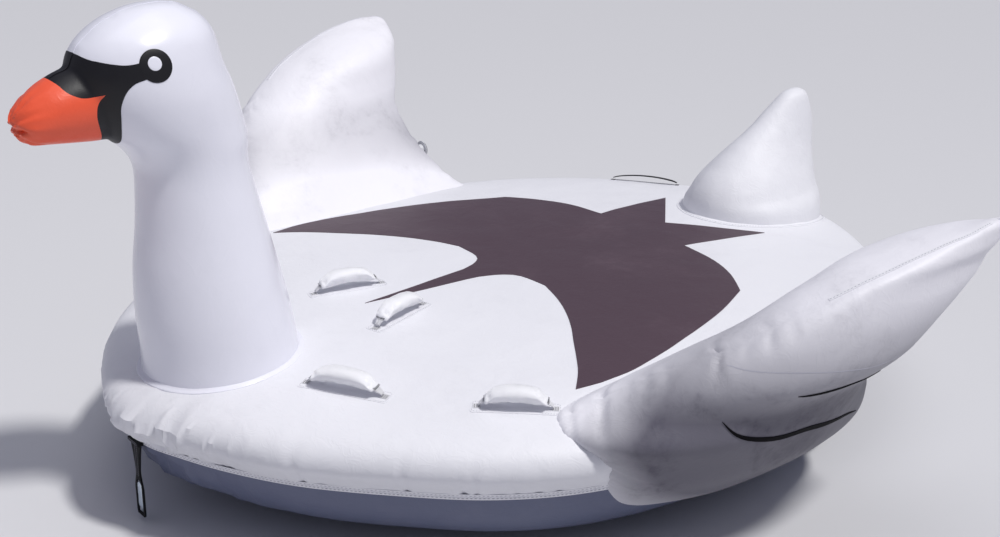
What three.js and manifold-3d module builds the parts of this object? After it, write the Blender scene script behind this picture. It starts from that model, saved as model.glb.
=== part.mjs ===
import * as THREE from "three";
import { mergeVertices } from "three/addons/utils/BufferGeometryUtils.js";
import Module from "manifold-3d";

const wasm = await Module();
wasm.setup();
const { Manifold, Mesh: ManifoldMesh } = wasm;

// ---------------------------------------------------------------- frame
// +Z up, the head looks along -Y, the tail points along +Y, the swan's left is +X.
// Proportions are written as fractions of REF; everything below comes out in mm.
const REF = 1400;
const DECK = 0.275;          // deck centre above the floor
const MID_Y = 0.2699;        // middle of the length
const SEAM = -0.13;          // cover seam below the deck centre

const COVER_T = 4;           // cover cloth with its foam backing
const BLADDER_T = 3;         // bladder wall
const LOOSE = 2;             // air between a cover and its bladder
const GAP = 0.4;             // clearance between touching pieces

const P = (x, y, z) => new THREE.Vector3(x * REF, (y - MID_Y) * REF, (z + DECK) * REF);

// ---------------------------------------------------------------- solids
// A closed skin over rings of equal length; each end is closed to its middle.
function skin(rings) {
  const n = rings[0].length, pos = [], idx = [];
  rings.forEach((r) => r.forEach((p) => pos.push(p.x, p.y, p.z)));
  const middle = (ring) => ring.reduce((a, p) => a.add(p), new THREE.Vector3()).divideScalar(n);
  const first = middle(rings[0]), last = middle(rings[rings.length - 1]);
  const a = rings.length * n, b = a + 1;
  pos.push(first.x, first.y, first.z, last.x, last.y, last.z);
  for (let i = 0; i < rings.length - 1; i++) {
    for (let k = 0; k < n; k++) {
      const p = i * n + k, q = i * n + ((k + 1) % n), r = p + n, s = q + n;
      idx.push(p, q, s, p, s, r);
    }
  }
  const top = (rings.length - 1) * n;
  for (let k = 0; k < n; k++) {
    idx.push(a, (k + 1) % n, k);
    idx.push(b, top + k, top + ((k + 1) % n));
  }
  const g = new THREE.BufferGeometry();
  g.setAttribute("position", new THREE.Float32BufferAttribute(pos, 3));
  g.setIndex(idx);
  return g;
}

// The same skin grown (d > 0) or shrunk (d < 0) along its normals.
function offset(geometry, d) {
  const g = geometry.clone();
  g.computeVertexNormals();
  const p = g.attributes.position, n = g.attributes.normal;
  for (let i = 0; i < p.count; i++) {
    p.setXYZ(i, p.getX(i) + n.getX(i) * d, p.getY(i) + n.getY(i) * d, p.getZ(i) + n.getZ(i) * d);
  }
  return g;
}

function solid(geometry) {
  let g = geometry.clone();
  for (const name of Object.keys(g.attributes)) if (name !== "position") g.deleteAttribute(name);
  g = mergeVertices(g, 1e-4);
  const i = g.index.array, tris = [];
  for (let k = 0; k < i.length; k += 3) {
    if (i[k] !== i[k + 1] && i[k + 1] !== i[k + 2] && i[k] !== i[k + 2]) tris.push(i[k], i[k + 1], i[k + 2]);
  }
  return new Manifold(new ManifoldMesh({
    numProp: 3,
    vertProperties: new Float32Array(g.attributes.position.array),
    triVerts: new Uint32Array(tris),
  }));
}

function geometryOf(m) {
  const mesh = m.getMesh();
  const g = new THREE.BufferGeometry();
  g.setAttribute("position", new THREE.Float32BufferAttribute(new Float32Array(mesh.vertProperties), 3));
  g.setIndex(Array.from(mesh.triVerts));
  g.computeVertexNormals();
  return g;
}

const mirrorX = (geometry) => {
  const g = geometry.clone();
  g.scale(-1, 1, 1);
  const i = g.index.array;
  for (let k = 0; k < i.length; k += 3) [i[k], i[k + 1]] = [i[k + 1], i[k]];
  return g;
};

const box = (x0, x1, y0, y1, z0, z1) =>
  solid(new THREE.BoxGeometry(x1 - x0, y1 - y0, z1 - z0).translate((x0 + x1) / 2, (y0 + y1) / 2, (z0 + z1) / 2));

// ---------------------------------------------------------------- materials
const mat = (color, roughness, metalness = 0) => new THREE.MeshStandardMaterial({ color, roughness, metalness });
const WHITE_CLOTH = mat(0xe8e7ef, 0.75);
const GREY_CLOTH = mat(0x5a616e, 0.8);
const VINYL = mat(0xf2f2f5, 0.3);
const BLADDER = mat(0xbfc6cf, 0.5);
const BLACK = mat(0x1c181c, 0.6);

const group = new THREE.Group();
function add(name, body, material) {
  const geometry = body.getMesh ? geometryOf(body) : body;
  geometry.computeVertexNormals();
  const mesh = new THREE.Mesh(geometry, material);
  mesh.name = name;
  group.add(mesh);
}

// ---------------------------------------------------------------- hull
const OUTLINE = [            // half of the seam line, bow to stern
  [0, -0.43], [0.1, -0.402], [0.2, -0.357], [0.295, -0.297], [0.4, -0.203], [0.485, -0.112],
  [0.546, -0.012], [0.583, 0.1], [0.6, 0.22], [0.602, 0.34], [0.59, 0.46], [0.563, 0.58],
  [0.525, 0.69], [0.465, 0.79], [0.39, 0.875], [0.3, 0.95], [0.2, 1.015], [0.1, 1.06], [0, 1.08],
];
const PROFILE = [            // share of the outline, height below the deck centre
  [0.36, -DECK], [0.46, -0.2735], [0.62, -0.268], [0.77, -0.256], [0.87, -0.238], [0.93, -0.215], [0.968, -0.188],
  [0.988, -0.16], [1, SEAM], [1.024, -0.11], [1.044, -0.087], [1.034, -0.06], [0.98, -0.039], [0.86, -0.024],
  [0.68, -0.013], [0.48, -0.005], [0.25, -0.001],
];
const HULL_SIDES = 36;
const HULL_MID = 0.42;      // the outline is scaled about this point of the centreline
const hullCurve = new THREE.CatmullRomCurve3(
  [...OUTLINE, ...OUTLINE.slice(1, -1).reverse().map(([x, y]) => [-x, y])].map(([x, y]) => new THREE.Vector3(x, y, 0)), true, "centripetal");
const hullRings = (step) => skin(PROFILE.map(([s, z]) => {
  const ring = [];
  for (let k = 0; k < HULL_SIDES; k += step) {
    const b = hullCurve.getPoint(k / HULL_SIDES);
    ring.push(P(b.x * s, HULL_MID + (b.y - HULL_MID) * s, z));
  }
  return ring;
}));
const hullSkin = hullRings(1), hullInside = hullRings(2);
const hull = (d) => solid(offset(hullSkin, d));
const inside = (d) => solid(offset(hullInside, d));

// ---------------------------------------------------------------- wings
const WING = [               // height, front point, rear point, swell outward, swell inward
  [-0.215, 0.50, 0.14, 0.46, 0.56, 0.05, 0.09],
  [-0.18, 0.52, 0.08, 0.48, 0.62, 0.115, 0.1],
  [-0.13, 0.545, 0.05, 0.50, 0.63, 0.155, 0.12],
  [-0.08, 0.53, 0.02, 0.49, 0.62, 0.2, 0.11],
  [-0.04, 0.515, 0, 0.50, 0.59, 0.225, 0.07],
  [0, 0.545, 0.06, 0.575, 0.56, 0.19, 0.06],
  [0.05, 0.61, 0.12, 0.65, 0.56, 0.165, 0.065],
  [0.1, 0.685, 0.185, 0.715, 0.58, 0.11, 0.08],
  [0.15, 0.74, 0.265, 0.76, 0.605, 0.068, 0.095],
  [0.185, 0.775, 0.335, 0.78, 0.615, 0.045, 0.1],
  [0.207, 0.797, 0.405, 0.795, 0.625, 0.035, 0.088],
  [0.225, 0.812, 0.47, 0.806, 0.628, 0.022, 0.06],
  [0.236, 0.82, 0.53, 0.812, 0.628, 0.012, 0.026],
];
const WING_SIDES = 16;
const wingSkin = (lift, lead, step = 1) => skin(WING.map(([z0, fx, fy0, rx, ry0, out, inn]) => {
  const z = z0 > 0 ? z0 * lift : z0, shift = lead * Math.min(1, Math.max(0, z0 / 0.1));
  const fy = fy0 - shift, ry = ry0 - shift;
  const mx = (fx + rx) / 2, my = (fy + ry) / 2, ex = rx - fx, ey = ry - fy, l = Math.hypot(ex, ey);
  const nx = ey / l, ny = -ex / l, ring = [];
  for (let k = 0; k < WING_SIDES; k += step) {
    const a = (2 * Math.PI * k) / WING_SIDES, s = Math.sin(a), t = Math.sign(s) * Math.abs(s) ** 0.85;
    const w = t > 0 ? out * t : inn * t;
    ring.push(P(mx - (ex / 2) * Math.cos(a) + nx * w, my - (ey / 2) * Math.cos(a) + ny * w, z));
  }
  return ring;
}));

// ---------------------------------------------------------------- neck and head
const NECK = [               // height, middle in y, half width, half length
  [-0.13, -0.27, 0.128, 0.128], [-0.06, -0.275, 0.127, 0.127], [0, -0.278, 0.125, 0.125], [0.07, -0.286, 0.121, 0.121],
  [0.14, -0.293, 0.112, 0.112], [0.207, -0.297, 0.1, 0.1], [0.273, -0.303, 0.09, 0.09], [0.31, -0.307, 0.088, 0.088],
  [0.34, -0.315, 0.09, 0.098], [0.37, -0.334, 0.094, 0.112], [0.4, -0.349, 0.098, 0.12], [0.43, -0.361, 0.1, 0.123],
  [0.46, -0.37, 0.097, 0.12], [0.49, -0.37, 0.09, 0.113], [0.515, -0.365, 0.078, 0.098], [0.535, -0.36, 0.058, 0.074],
  [0.547, -0.357, 0.034, 0.044],
];
const NECK_SIDES = 20;
const neckRings = (step) => skin(NECK.map(([z, y, a, b]) => {
  const ring = [];
  for (let k = 0; k < NECK_SIDES; k += step) {
    const t = (2 * Math.PI * k) / NECK_SIDES;
    ring.push(P(a * Math.sin(t), y - b * Math.cos(t), z));
  }
  return ring;
}));
const neckSkin = neckRings(1), neckInside = neckRings(2);

const BEAK = [               // position in y, middle height, half width, half height
  [-0.43, 0.423, 0.05, 0.06], [-0.47, 0.423, 0.052, 0.058], [-0.52, 0.417, 0.048, 0.047],
  [-0.555, 0.408, 0.038, 0.034], [-0.575, 0.402, 0.022, 0.02],
];
const BEAK_SIDES = 16;
const beakSkin = skin(BEAK.map(([y, z, a, b]) => {
  const ring = [];
  for (let k = 0; k < BEAK_SIDES; k++) {
    const t = (2 * Math.PI * k) / BEAK_SIDES;
    ring.push(P(a * Math.cos(t), y, z + b * Math.sin(t)));
  }
  return ring;
}));

// ---------------------------------------------------------------- tail
const TAIL = [
  [-0.06, 0.937, 0.132, 0.153], [0, 0.937, 0.123, 0.151], [0.03, 0.94, 0.104, 0.147], [0.06, 0.95, 0.088, 0.136],
  [0.09, 0.969, 0.07, 0.119], [0.12, 0.992, 0.052, 0.1], [0.15, 1.013, 0.04, 0.078], [0.18, 1.03, 0.03, 0.054],
  [0.205, 1.042, 0.018, 0.03],
];
const TAIL_SIDES = 16;
const tailRings = (step) => skin(TAIL.map(([z, y, a, b]) => {
  const ring = [];
  for (let k = 0; k < TAIL_SIDES; k += step) {
    const t = (2 * Math.PI * k) / TAIL_SIDES;
    ring.push(P(a * Math.sin(t), y - b * Math.cos(t), z));
  }
  return ring;
}));


const tailSkin = tailRings(1);

// ---------------------------------------------------------------- covers and bladders
const FAR = 2 * REF, SEAM_Z = (SEAM + DECK) * REF;
const biggest = (m) => m.decompose().sort((p, q) => q.volume() - p.volume())[0];
const lathe = (profile, sides = 20) => solid(new THREE.LatheGeometry(profile.map(([r, h]) => new THREE.Vector2(r, h)), sides));
// A turned solid whose axis points along +Y, its h = 0 plane at the given place.
const latheY = (profile, x, y, z, sides = 20) =>
  solid(new THREE.LatheGeometry([...profile, profile[0]].map(([r, h]) => new THREE.Vector2(r, h)), sides).translate(0, y, 0).translate(x, 0, z));
const rod = (r, x, y0, y1, z, sides = 20) =>
  solid(new THREE.CylinderGeometry(r, r, y1 - y0, sides).translate(x, (y0 + y1) / 2, z));

const VALVE_HOLE = 17, VALVE_TUBE = 16, VALVE_BORE = 10, VALVE_FLANGE = 26, CAP_R = 22;
const at = (x, y, z) => P(x, y, z);
const wingL = wingSkin(1, 0), wingR = mirrorX(wingSkin(1.2, 0.045));  // the right wing stands higher
const VALVES = {             // each one faces +Y: x, surface y, z
  hull: at(0, HULL_MID + (1.08 - HULL_MID) * 1.044, -0.087),
  neck: at(0, -0.165, 0.05),
  wing_left: at(0.62, 0.56, 0.03),
  wing_right: at(-0.62, 0.56 - 0.045 * 0.25, 0.03),
  tail: at(0, 1.0865, 0.045),
};
const STAND = 1;
const hole = (v) => rod(VALVE_HOLE, v.x, v.y - 45, v.y + 12, v.z, 16).add(rod(VALVE_FLANGE + 1, v.x, v.y + STAND - GAP, v.y + 30, v.z, 16));

const hullShell = hull(0).subtract(hull(-COVER_T)).subtract(hole(VALVES.hull));
const bladderOut = COVER_T + LOOSE, bladderIn = bladderOut + BLADDER_T;
add("top_cover", hullShell.intersect(box(-FAR, FAR, -FAR, FAR, SEAM_Z + GAP, FAR)), WHITE_CLOTH);
add("bottom_cover", hullShell.intersect(box(-FAR, FAR, -FAR, FAR, -FAR, SEAM_Z - GAP)), GREY_CLOTH);
add("hull_bladder", inside(-bladderOut).subtract(inside(-bladderIn)).subtract(hole(VALVES.hull)), BLADDER);

const around = hull(GAP);
function chamber(outline, core, valve, cover, bladder, material) {
  const body = (skinGeometry, d) => solid(offset(skinGeometry, -d)).subtract(d ? inside(GAP + d) : around);
  const room = body(outline, COVER_T);
  add(cover, biggest(body(outline, 0).subtract(room).subtract(hole(valve))), material);
  const filled = room.intersect(body(core, bladderOut)).subtract(inside(GAP + bladderOut));
  add(bladder, biggest(filled.intersect(solid(offset(outline, -COVER_T - GAP)).subtract(hull(COVER_T + 2 * GAP))).subtract(body(core, bladderIn)).subtract(hole(valve))), BLADDER);
}
chamber(wingL, wingSkin(1, 0, 2), VALVES.wing_left, "wing_cover_left", "wing_bladder_left", WHITE_CLOTH);
chamber(wingR, mirrorX(wingSkin(1.2, 0.045, 2)), VALVES.wing_right, "wing_cover_right", "wing_bladder_right", WHITE_CLOTH);
chamber(tailSkin, tailRings(2), VALVES.tail, "tail_cover", "tail_bladder", WHITE_CLOTH);

// Welded seam tape over the joint of the two covers, bow and stern.
const tape = hull(2).subtract(hull(GAP)).intersect(box(-FAR, FAR, -FAR, FAR, SEAM_Z - 9, SEAM_Z + 9))
  .subtract(solid(offset(wingL, 1.5))).subtract(solid(offset(wingR, 1.5)));
const tapes = tape.decompose().sort((p, q) => p.boundingBox().min[1] - q.boundingBox().min[1]);
add("seam_tape_bow", tapes[0], WHITE_CLOTH);
add("seam_tape_stern", tapes[tapes.length - 1], GREY_CLOTH);

// ---------------------------------------------------------------- neck, head, face
const neck = (d) => solid(offset(neckSkin, d));
const PRINT = 0.9;           // thickness of a welded vinyl panel
add("neck_and_head", biggest(neck(0).subtract(around)
  .subtract(solid(offset(neckInside, -BLADDER_T)).subtract(inside(GAP + BLADDER_T))).subtract(hole(VALVES.neck))), VINYL);
add("beak", biggest(solid(beakSkin).subtract(neck(GAP + PRINT + GAP))
  .subtract(solid(offset(beakSkin, -BLADDER_T)).subtract(neck(GAP + PRINT + GAP + BLADDER_T)))
  .subtract(solid(new THREE.CylinderGeometry(4, 4, 60, 12).rotateX(Math.PI / 2).translate(...at(0, -0.47, 0.425).toArray())).intersect(neck(14)))), mat(0xe8603c, 0.4));
// A flat outline in the Y-Z plane, pushed through from x0 to x1.
function prismX(points, x0, x1) {
  const s = new THREE.Shape(points.map(([y, z]) => { const p = at(0, y, z); return new THREE.Vector2(p.y, p.z); }));
  const g = new THREE.ExtrudeGeometry(s, { depth: x1 - x0, bevelEnabled: false, curveSegments: 6 });
  g.applyMatrix4(new THREE.Matrix4().makeBasis(new THREE.Vector3(0, 1, 0), new THREE.Vector3(0, 0, 1), new THREE.Vector3(1, 0, 0)));
  return solid(g.translate(x0, 0, 0));
}
const skinLayer = neck(GAP + PRINT).subtract(neck(GAP));
const EYE = { y: -0.393, z: 0.481, r: 0.0235 };
const eyeRod = (r, x0, x1) => solid(new THREE.CylinderGeometry(r * REF, r * REF, x1 - x0, 16).rotateZ(Math.PI / 2)
  .translate((x0 + x1) / 2, (EYE.y - MID_Y) * REF, (EYE.z + DECK) * REF));
const MASK = [
  [-0.56, 0.53], [-0.5, 0.505], [-0.476, 0.494], [-0.451, 0.4865], [-0.432, 0.4845], [-0.41, 0.489], [-0.393, 0.481], [-0.408, 0.464],
  [-0.425, 0.459], [-0.438, 0.444], [-0.443, 0.424], [-0.441, 0.404], [-0.437, 0.383], [-0.43, 0.355], [-0.43, 0.32], [-0.56, 0.32],
];
add("face_mask", biggest(skinLayer.intersect(prismX(MASK, -200, 200)).subtract(eyeRod(EYE.r + 0.0006, -200, 200))), BLACK);
for (const [side, sx] of [["left", 1], ["right", -1]]) {
  const x0 = sx > 0 ? 40 : -200, x1 = sx > 0 ? 200 : -40;
  add(`eye_${side}`, skinLayer.intersect(eyeRod(EYE.r, x0, x1)).subtract(eyeRod(0.0106, x0, x1)), BLACK);
  add(`eye_glint_${side}`, skinLayer.intersect(eyeRod(0.01, x0, x1)), VINYL);
}
const COLLAR = 16;
add("neck_collar", biggest(neck(COLLAR).subtract(neck(GAP)).intersect(hull(7).subtract(hull(GAP)))), VINYL);

// ---------------------------------------------------------------- deck panel
const half = [
  [0, 0.007], [0.018, 0.225], [0.036, 0.262], [0.066, 0.286], [0.128, 0.292], [0.185, 0.272], [0.238, 0.247], [0.29, 0.216], [0.336, 0.183],
  [0.38, 0.152], [0.42, 0.122], [0.46, 0.084], [0.466, 0.13], [0.464, 0.19], [0.447, 0.27], [0.42, 0.365], [0.385, 0.465], [0.338, 0.562],
  [0.27, 0.604], [0.2, 0.627], [0.119, 0.635], [0.14, 0.83], [0, 0.698],
];
function prismZ(points, z0, z1) {
  const s = new THREE.Shape(points.map(([x, y]) => { const p = at(x, y, 0); return new THREE.Vector2(p.x, p.y); }));
  const g = new THREE.ExtrudeGeometry(s, { depth: z1 - z0, bevelEnabled: false });
  return solid(g.translate(0, 0, z0));
}
const deckZ0 = (DECK - 0.1) * REF, deckZ1 = (DECK + 0.05) * REF;
const panelOutline = [...half, ...half.slice(1, -1).reverse().map(([x, y]) => [-x, y])];
add("deck_panel", biggest(hull(GAP + 1.6).subtract(hull(GAP)).intersect(prismZ(panelOutline, deckZ0, deckZ1))
  .subtract(solid(offset(wingL, 1))).subtract(solid(offset(wingR, 1)))), mat(0x533f4c, 0.7));

// ---------------------------------------------------------------- deck height and slope
function deckAt(x, y) {
  const a = Math.atan2(x, HULL_MID - y);
  let best = null;
  for (let k = 0; k < 720; k++) {
    const b = hullCurve.getPoint(k / 720), d = Math.abs(Math.atan2(Math.sin(Math.atan2(b.x, HULL_MID - b.y) - a), Math.cos(Math.atan2(b.x, HULL_MID - b.y) - a)));
    if (!best || d < best.d) best = { d, r: Math.hypot(b.x, b.y - HULL_MID) };
  }
  const s = Math.hypot(x, y - HULL_MID) / best.r;
  const top = PROFILE.slice(-7).reverse();
  let lo = [0, 0];
  for (const q of top) {
    if (s <= q[0]) return lo[1] + (q[1] - lo[1]) * (s - lo[0]) / (q[0] - lo[0]);
    lo = q;
  }
  return lo[1];
}
const onDeck = (x, y) => at(x, y, deckAt(x, y));
function deckNormal(x, y) {
  const e = 0.02, dx = (deckAt(x + e, y) - deckAt(x - e, y)) / (2 * e), dy = (deckAt(x, y + e) - deckAt(x, y - e)) / (2 * e);
  return new THREE.Vector3(-dx, -dy, 1).normalize();
}

// ---------------------------------------------------------------- handles
// A padded sleeve on webbing, both ends sewn down through a cloth patch.
const HANDLE = { rise: 38, lift: 7, wide: 20, thick: 17, pinch: 4.5, pinchWide: 15, webWide: 24, endWide: 16, webThick: 3, patch: 1.2, patchHalf: 24, foot: 20 };
function handleFrame([ax, ay], [bx, by]) {
  const A = onDeck(ax, ay), B = onDeck(bx, by), mx = (ax + bx) / 2, my = (ay + by) / 2;
  const e = B.clone().sub(A).normalize(), n0 = deckNormal(mx, my);
  const w = n0.clone().cross(e).normalize(), n = e.clone().cross(w).normalize();
  return { A, B, e, w, n, L: A.distanceTo(B) };
}
function band(f, samples, t0, t1, section) {
  const { A, B, w, n, L, e } = f, rings = [];
  for (let i = 0; i <= samples; i++) {
    const t = t0 + ((t1 - t0) * i) / samples;
    const rise = (u) => f.lift + f.rise * Math.sin(Math.PI * Math.min(1, Math.max(0, u))) ** 0.62;
    const at0 = A.clone().lerp(B, t).addScaledVector(n, rise(t));
    const d = 0.01, dir = e.clone().multiplyScalar(L * 2 * d).addScaledVector(n, rise(t + d) - rise(t - d)).normalize();
    const up = dir.clone().cross(w).multiplyScalar(1).normalize();
    rings.push(section(t).map(([a, b]) => at0.clone().addScaledVector(w, a).addScaledVector(up, b)));
  }
  return solid(skin(rings));
}
// A flat strip's section, narrowed towards its sewn ends.
const tapered = (wide, thick, end) => (t) => {
  const w = (end + (wide - end) * Math.min(1, Math.min(t, 1 - t) / 0.1)) / 2, h = thick / 2;
  return [[w, -h], [w, h], [-w, h], [-w, -h]];
};
const SLEEVE_SIDES = 10;
function handle(name, a, b, material, web, h = HANDLE) {
  const f = { ...handleFrame(a, b), rise: h.rise, lift: h.lift };
  const c0 = 0.09, c1 = 0.91;
  const sleeve = (t) => {
    const k = Math.sin(Math.PI * Math.min(1, Math.max(0, (t - c0) / (c1 - c0)))) ** 0.45;
    const ra = h.pinchWide + (h.wide - h.pinchWide) * k, rb = h.pinch + (h.thick - h.pinch) * k;
    return Array.from({ length: SLEEVE_SIDES }, (_, i) => { const q = (2 * Math.PI * i) / SLEEVE_SIDES; return [ra * Math.cos(q), rb * Math.sin(q)]; });
  };
  const strip = (wide, thick, end = wide) => tapered(wide, thick, end);
  add(`${name}_sleeve`, band(f, 9, c0, c1, sleeve).subtract(band(f, 10, 0, 1, strip(h.webWide + 1.2, h.webThick + 1.2))), material);
  add(`${name}_webbing`, band(f, 10, 0, 1, strip(h.webWide, h.webThick, h.endWide)), web);
  const out = h.foot, r = h.patchHalf, mid = f.A.clone().lerp(f.B, 0.5), ang = Math.atan2(f.e.y, f.e.x);
  const s = new THREE.Shape(), l = f.L / 2 + out;
  s.moveTo(-l + 8, -r); s.lineTo(l - 8, -r); s.lineTo(l, -r + 8); s.lineTo(l, r - 8); s.lineTo(l - 8, r); s.lineTo(-l + 8, r); s.lineTo(-l, r - 8); s.lineTo(-l, -r + 8); s.closePath();
  const g = new THREE.ExtrudeGeometry(s, { depth: 200, bevelEnabled: false }).rotateZ(ang).translate(mid.x, mid.y, mid.z - 100);
  const clearOf = solid(offset(neckSkin, COLLAR + 1)).add(solid(offset(wingL, 1.5))).add(solid(offset(wingR, 1.5)));
  add(`${name}_patch`, biggest(hull(GAP + h.patch).subtract(hull(GAP)).intersect(solid(g)).subtract(panelPrism).subtract(clearOf)), web);
}
const panelPrism = prismZ(panelOutline.map(([x, y]) => [x * 1.004, y]), deckZ0, deckZ1);
const WEB = mat(0xf4f4f6, 0.8);
const HANDLES = {
  inner: [[0.097, -0.038], [0.065, 0.072]],
  middle: [[0.188, -0.225], [0.298, -0.162]],
  outer: [[0.412, -0.064], [0.484, 0.02]],
};
for (const [row, [a, b]] of Object.entries(HANDLES)) {
  handle(`handle_${row}_left`, a, b, VINYL, WEB);
  handle(`handle_${row}_right`, [-a[0], a[1]], [-b[0], b[1]], VINYL, WEB);
}


// ---------------------------------------------------------------- boarding strap, far stern quarter
const STRAP = { rise: 14, lift: 7, wide: 26, end: 18, thick: 3, patch: 1.2, patchHalf: 18, foot: 14 };
{
  const a = [-0.34, 0.865], b = [-0.23, 0.945], f = { ...handleFrame(a, b), rise: STRAP.rise, lift: STRAP.lift };
  add("boarding_strap", band(f, 12, 0, 1, tapered(STRAP.wide, STRAP.thick, STRAP.end)), mat(0x151417, 0.8));
  const l = f.L / 2 + STRAP.foot, r = STRAP.patchHalf, mid = f.A.clone().lerp(f.B, 0.5);
  add("boarding_strap_patch", biggest(hull(GAP + STRAP.patch).subtract(hull(GAP)).intersect(
    solid(new THREE.BoxGeometry(2 * l, 2 * r, 160).rotateZ(Math.atan2(f.e.y, f.e.x)).translate(mid.x, mid.y, mid.z)))), WEB);
}

// ---------------------------------------------------------------- tow point on the bow
const TOW = { y: HULL_MID + (-0.43 - HULL_MID) * 1.0, thick: 5, wide: 46, neck: 17, eyeWide: 37, eyeTop: 104, bar: 17, barR: 3.2, window: 27 };
{
  const yc = at(0, -0.43, 0).y - TOW.thick / 2 - 4, top = SEAM_Z - 11;
  const s = new THREE.Shape();
  const foot = TOW.bar - 3, w = TOW.window / 2;
  s.moveTo(-TOW.wide / 2, top); s.lineTo(-TOW.neck / 2, top - 62); s.lineTo(-TOW.neck / 2, 122);
  s.quadraticCurveTo(-TOW.neck / 2, 112, -TOW.eyeWide / 2, 86); s.lineTo(-TOW.eyeWide / 2, 24); s.lineTo(-TOW.eyeWide / 2 + 2, foot);
  s.lineTo(TOW.eyeWide / 2 - 2, foot); s.lineTo(TOW.eyeWide / 2, 24); s.lineTo(TOW.eyeWide / 2, 86);
  s.quadraticCurveTo(TOW.neck / 2, 112, TOW.neck / 2, 122); s.lineTo(TOW.neck / 2, top - 62); s.lineTo(TOW.wide / 2, top); s.closePath();
  const eye = new THREE.Shape();
  eye.moveTo(-w, foot - 5); eye.lineTo(w, foot - 5); eye.lineTo(w, 88); eye.quadraticCurveTo(w, TOW.eyeTop, 0, TOW.eyeTop); eye.quadraticCurveTo(-w, TOW.eyeTop, -w, 88); eye.closePath();
  const upright = (shape, depth, y) => solid(new THREE.ExtrudeGeometry(shape, { depth, bevelEnabled: false, curveSegments: 5 })
    .rotateX(Math.PI / 2).translate(0, y + depth, 0));
  const bar = solid(new THREE.CylinderGeometry(TOW.barR, TOW.barR, TOW.window + 5, 12).rotateZ(Math.PI / 2).translate(0, yc, TOW.bar));
  add("tow_strap", upright(s, TOW.thick, yc - TOW.thick / 2).subtract(upright(eye, 20, yc - 10)).add(bar), mat(0x121114, 0.75));
  // The alloy tongue hangs in the loop and passes behind its lower bar.
  const t = 1.5, back = TOW.barR + 0.8 + t, mid = [[back, 6], [back, 24], [0, 36], [0, 96]];
  const left = mid.map(([y, z], i) => [y - t, z - (i === 1 ? 1 : i === 2 ? 1 : 0)]), right = mid.map(([y, z], i) => [y + t, z + (i === 1 ? 1 : i === 2 ? 1 : 0)]);
  const side = new THREE.Shape([...left, ...right.reverse()].map(([y, z]) => new THREE.Vector2(y + yc, z)));
  const g = new THREE.ExtrudeGeometry(side, { depth: 24, bevelEnabled: false });
  g.applyMatrix4(new THREE.Matrix4().makeBasis(new THREE.Vector3(0, 1, 0), new THREE.Vector3(0, 0, 1), new THREE.Vector3(1, 0, 0)));
  add("tow_tongue", solid(g.translate(-12, 0, 0)), mat(0xdfe8ee, 0.25, 0.9));
  // Stitched anchor tab under the seam.
  const tab = new THREE.Shape([[-26, 0], [26, 0], [26, 9], [-26, 9]].map(([x, z]) => new THREE.Vector2(x, z)));
  add("tow_anchor_tab", biggest(upright(tab, 14, yc - 8).translate([0, 0, SEAM_Z - 9]).subtract(hull(2.6))), mat(0x121114, 0.8));
}

// ---------------------------------------------------------------- valves, all facing the stern
for (const [where, v] of Object.entries(VALVES)) {
  const name = where.startsWith("wing") ? `${where.replace("wing_", "wing_valve_")}` : `${where}_valve`;
  add(`${name}_body`, latheY([[VALVE_BORE, -22], [VALVE_TUBE, -22], [VALVE_TUBE, 0], [VALVE_FLANGE, 0], [VALVE_FLANGE, 2.5], [VALVE_BORE, 2.5]], v.x, v.y + STAND, v.z, 16), mat(0xdadde2, 0.5));
  add(`${name}_cap`, latheY([[0, -3], [VALVE_BORE - 1, -3], [VALVE_BORE - 1, 3], [CAP_R, 3], [CAP_R, 7], [0, 7]], v.x, v.y + STAND, v.z, 16), mat(0x2b2e33, 0.5));
}

export default group;
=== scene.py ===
import math

import bmesh
import bpy
import numpy as np
from mathutils import Matrix, Vector, noise
from mathutils.bvhtree import BVHTree


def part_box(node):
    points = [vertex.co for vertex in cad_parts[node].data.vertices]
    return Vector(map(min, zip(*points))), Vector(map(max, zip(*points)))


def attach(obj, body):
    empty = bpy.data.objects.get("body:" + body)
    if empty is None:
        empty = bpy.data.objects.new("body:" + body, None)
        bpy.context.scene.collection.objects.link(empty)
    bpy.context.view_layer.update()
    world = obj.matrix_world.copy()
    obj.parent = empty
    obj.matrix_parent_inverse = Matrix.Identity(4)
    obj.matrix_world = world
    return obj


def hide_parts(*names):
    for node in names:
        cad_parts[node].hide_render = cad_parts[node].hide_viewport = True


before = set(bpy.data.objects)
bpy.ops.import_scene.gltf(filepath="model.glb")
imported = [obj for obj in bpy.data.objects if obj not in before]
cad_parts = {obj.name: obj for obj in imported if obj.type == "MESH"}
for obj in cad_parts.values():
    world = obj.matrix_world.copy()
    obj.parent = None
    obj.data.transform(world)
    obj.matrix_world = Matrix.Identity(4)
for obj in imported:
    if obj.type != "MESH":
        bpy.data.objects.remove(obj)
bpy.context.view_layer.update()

bpy.ops.object.select_all(action="DESELECT")

# ---------------------------------------------------------------- proportions
# The tube's own unit is 1.4 m; z is counted from the middle of the deck.
UNIT = 1.4
DECK = 0.275
MIDDLE = 0.2699
SEAM = -0.13
HULL_CENTRE = 0.42
MM = 0.001


def spot(x, y, z):
    """A place given in the tube's own unit, in metres."""
    return np.stack(np.broadcast_arrays(UNIT * np.asarray(x, float), UNIT * (np.asarray(y, float) - MIDDLE),
                                        UNIT * (np.asarray(z, float) + DECK)), -1)


def mirrored(points):
    """Points of the left half followed by their twins on the right, as one closed line."""
    return points + [(-x, y) for x, y in reversed(points) if abs(x) > 1e-9]


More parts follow.
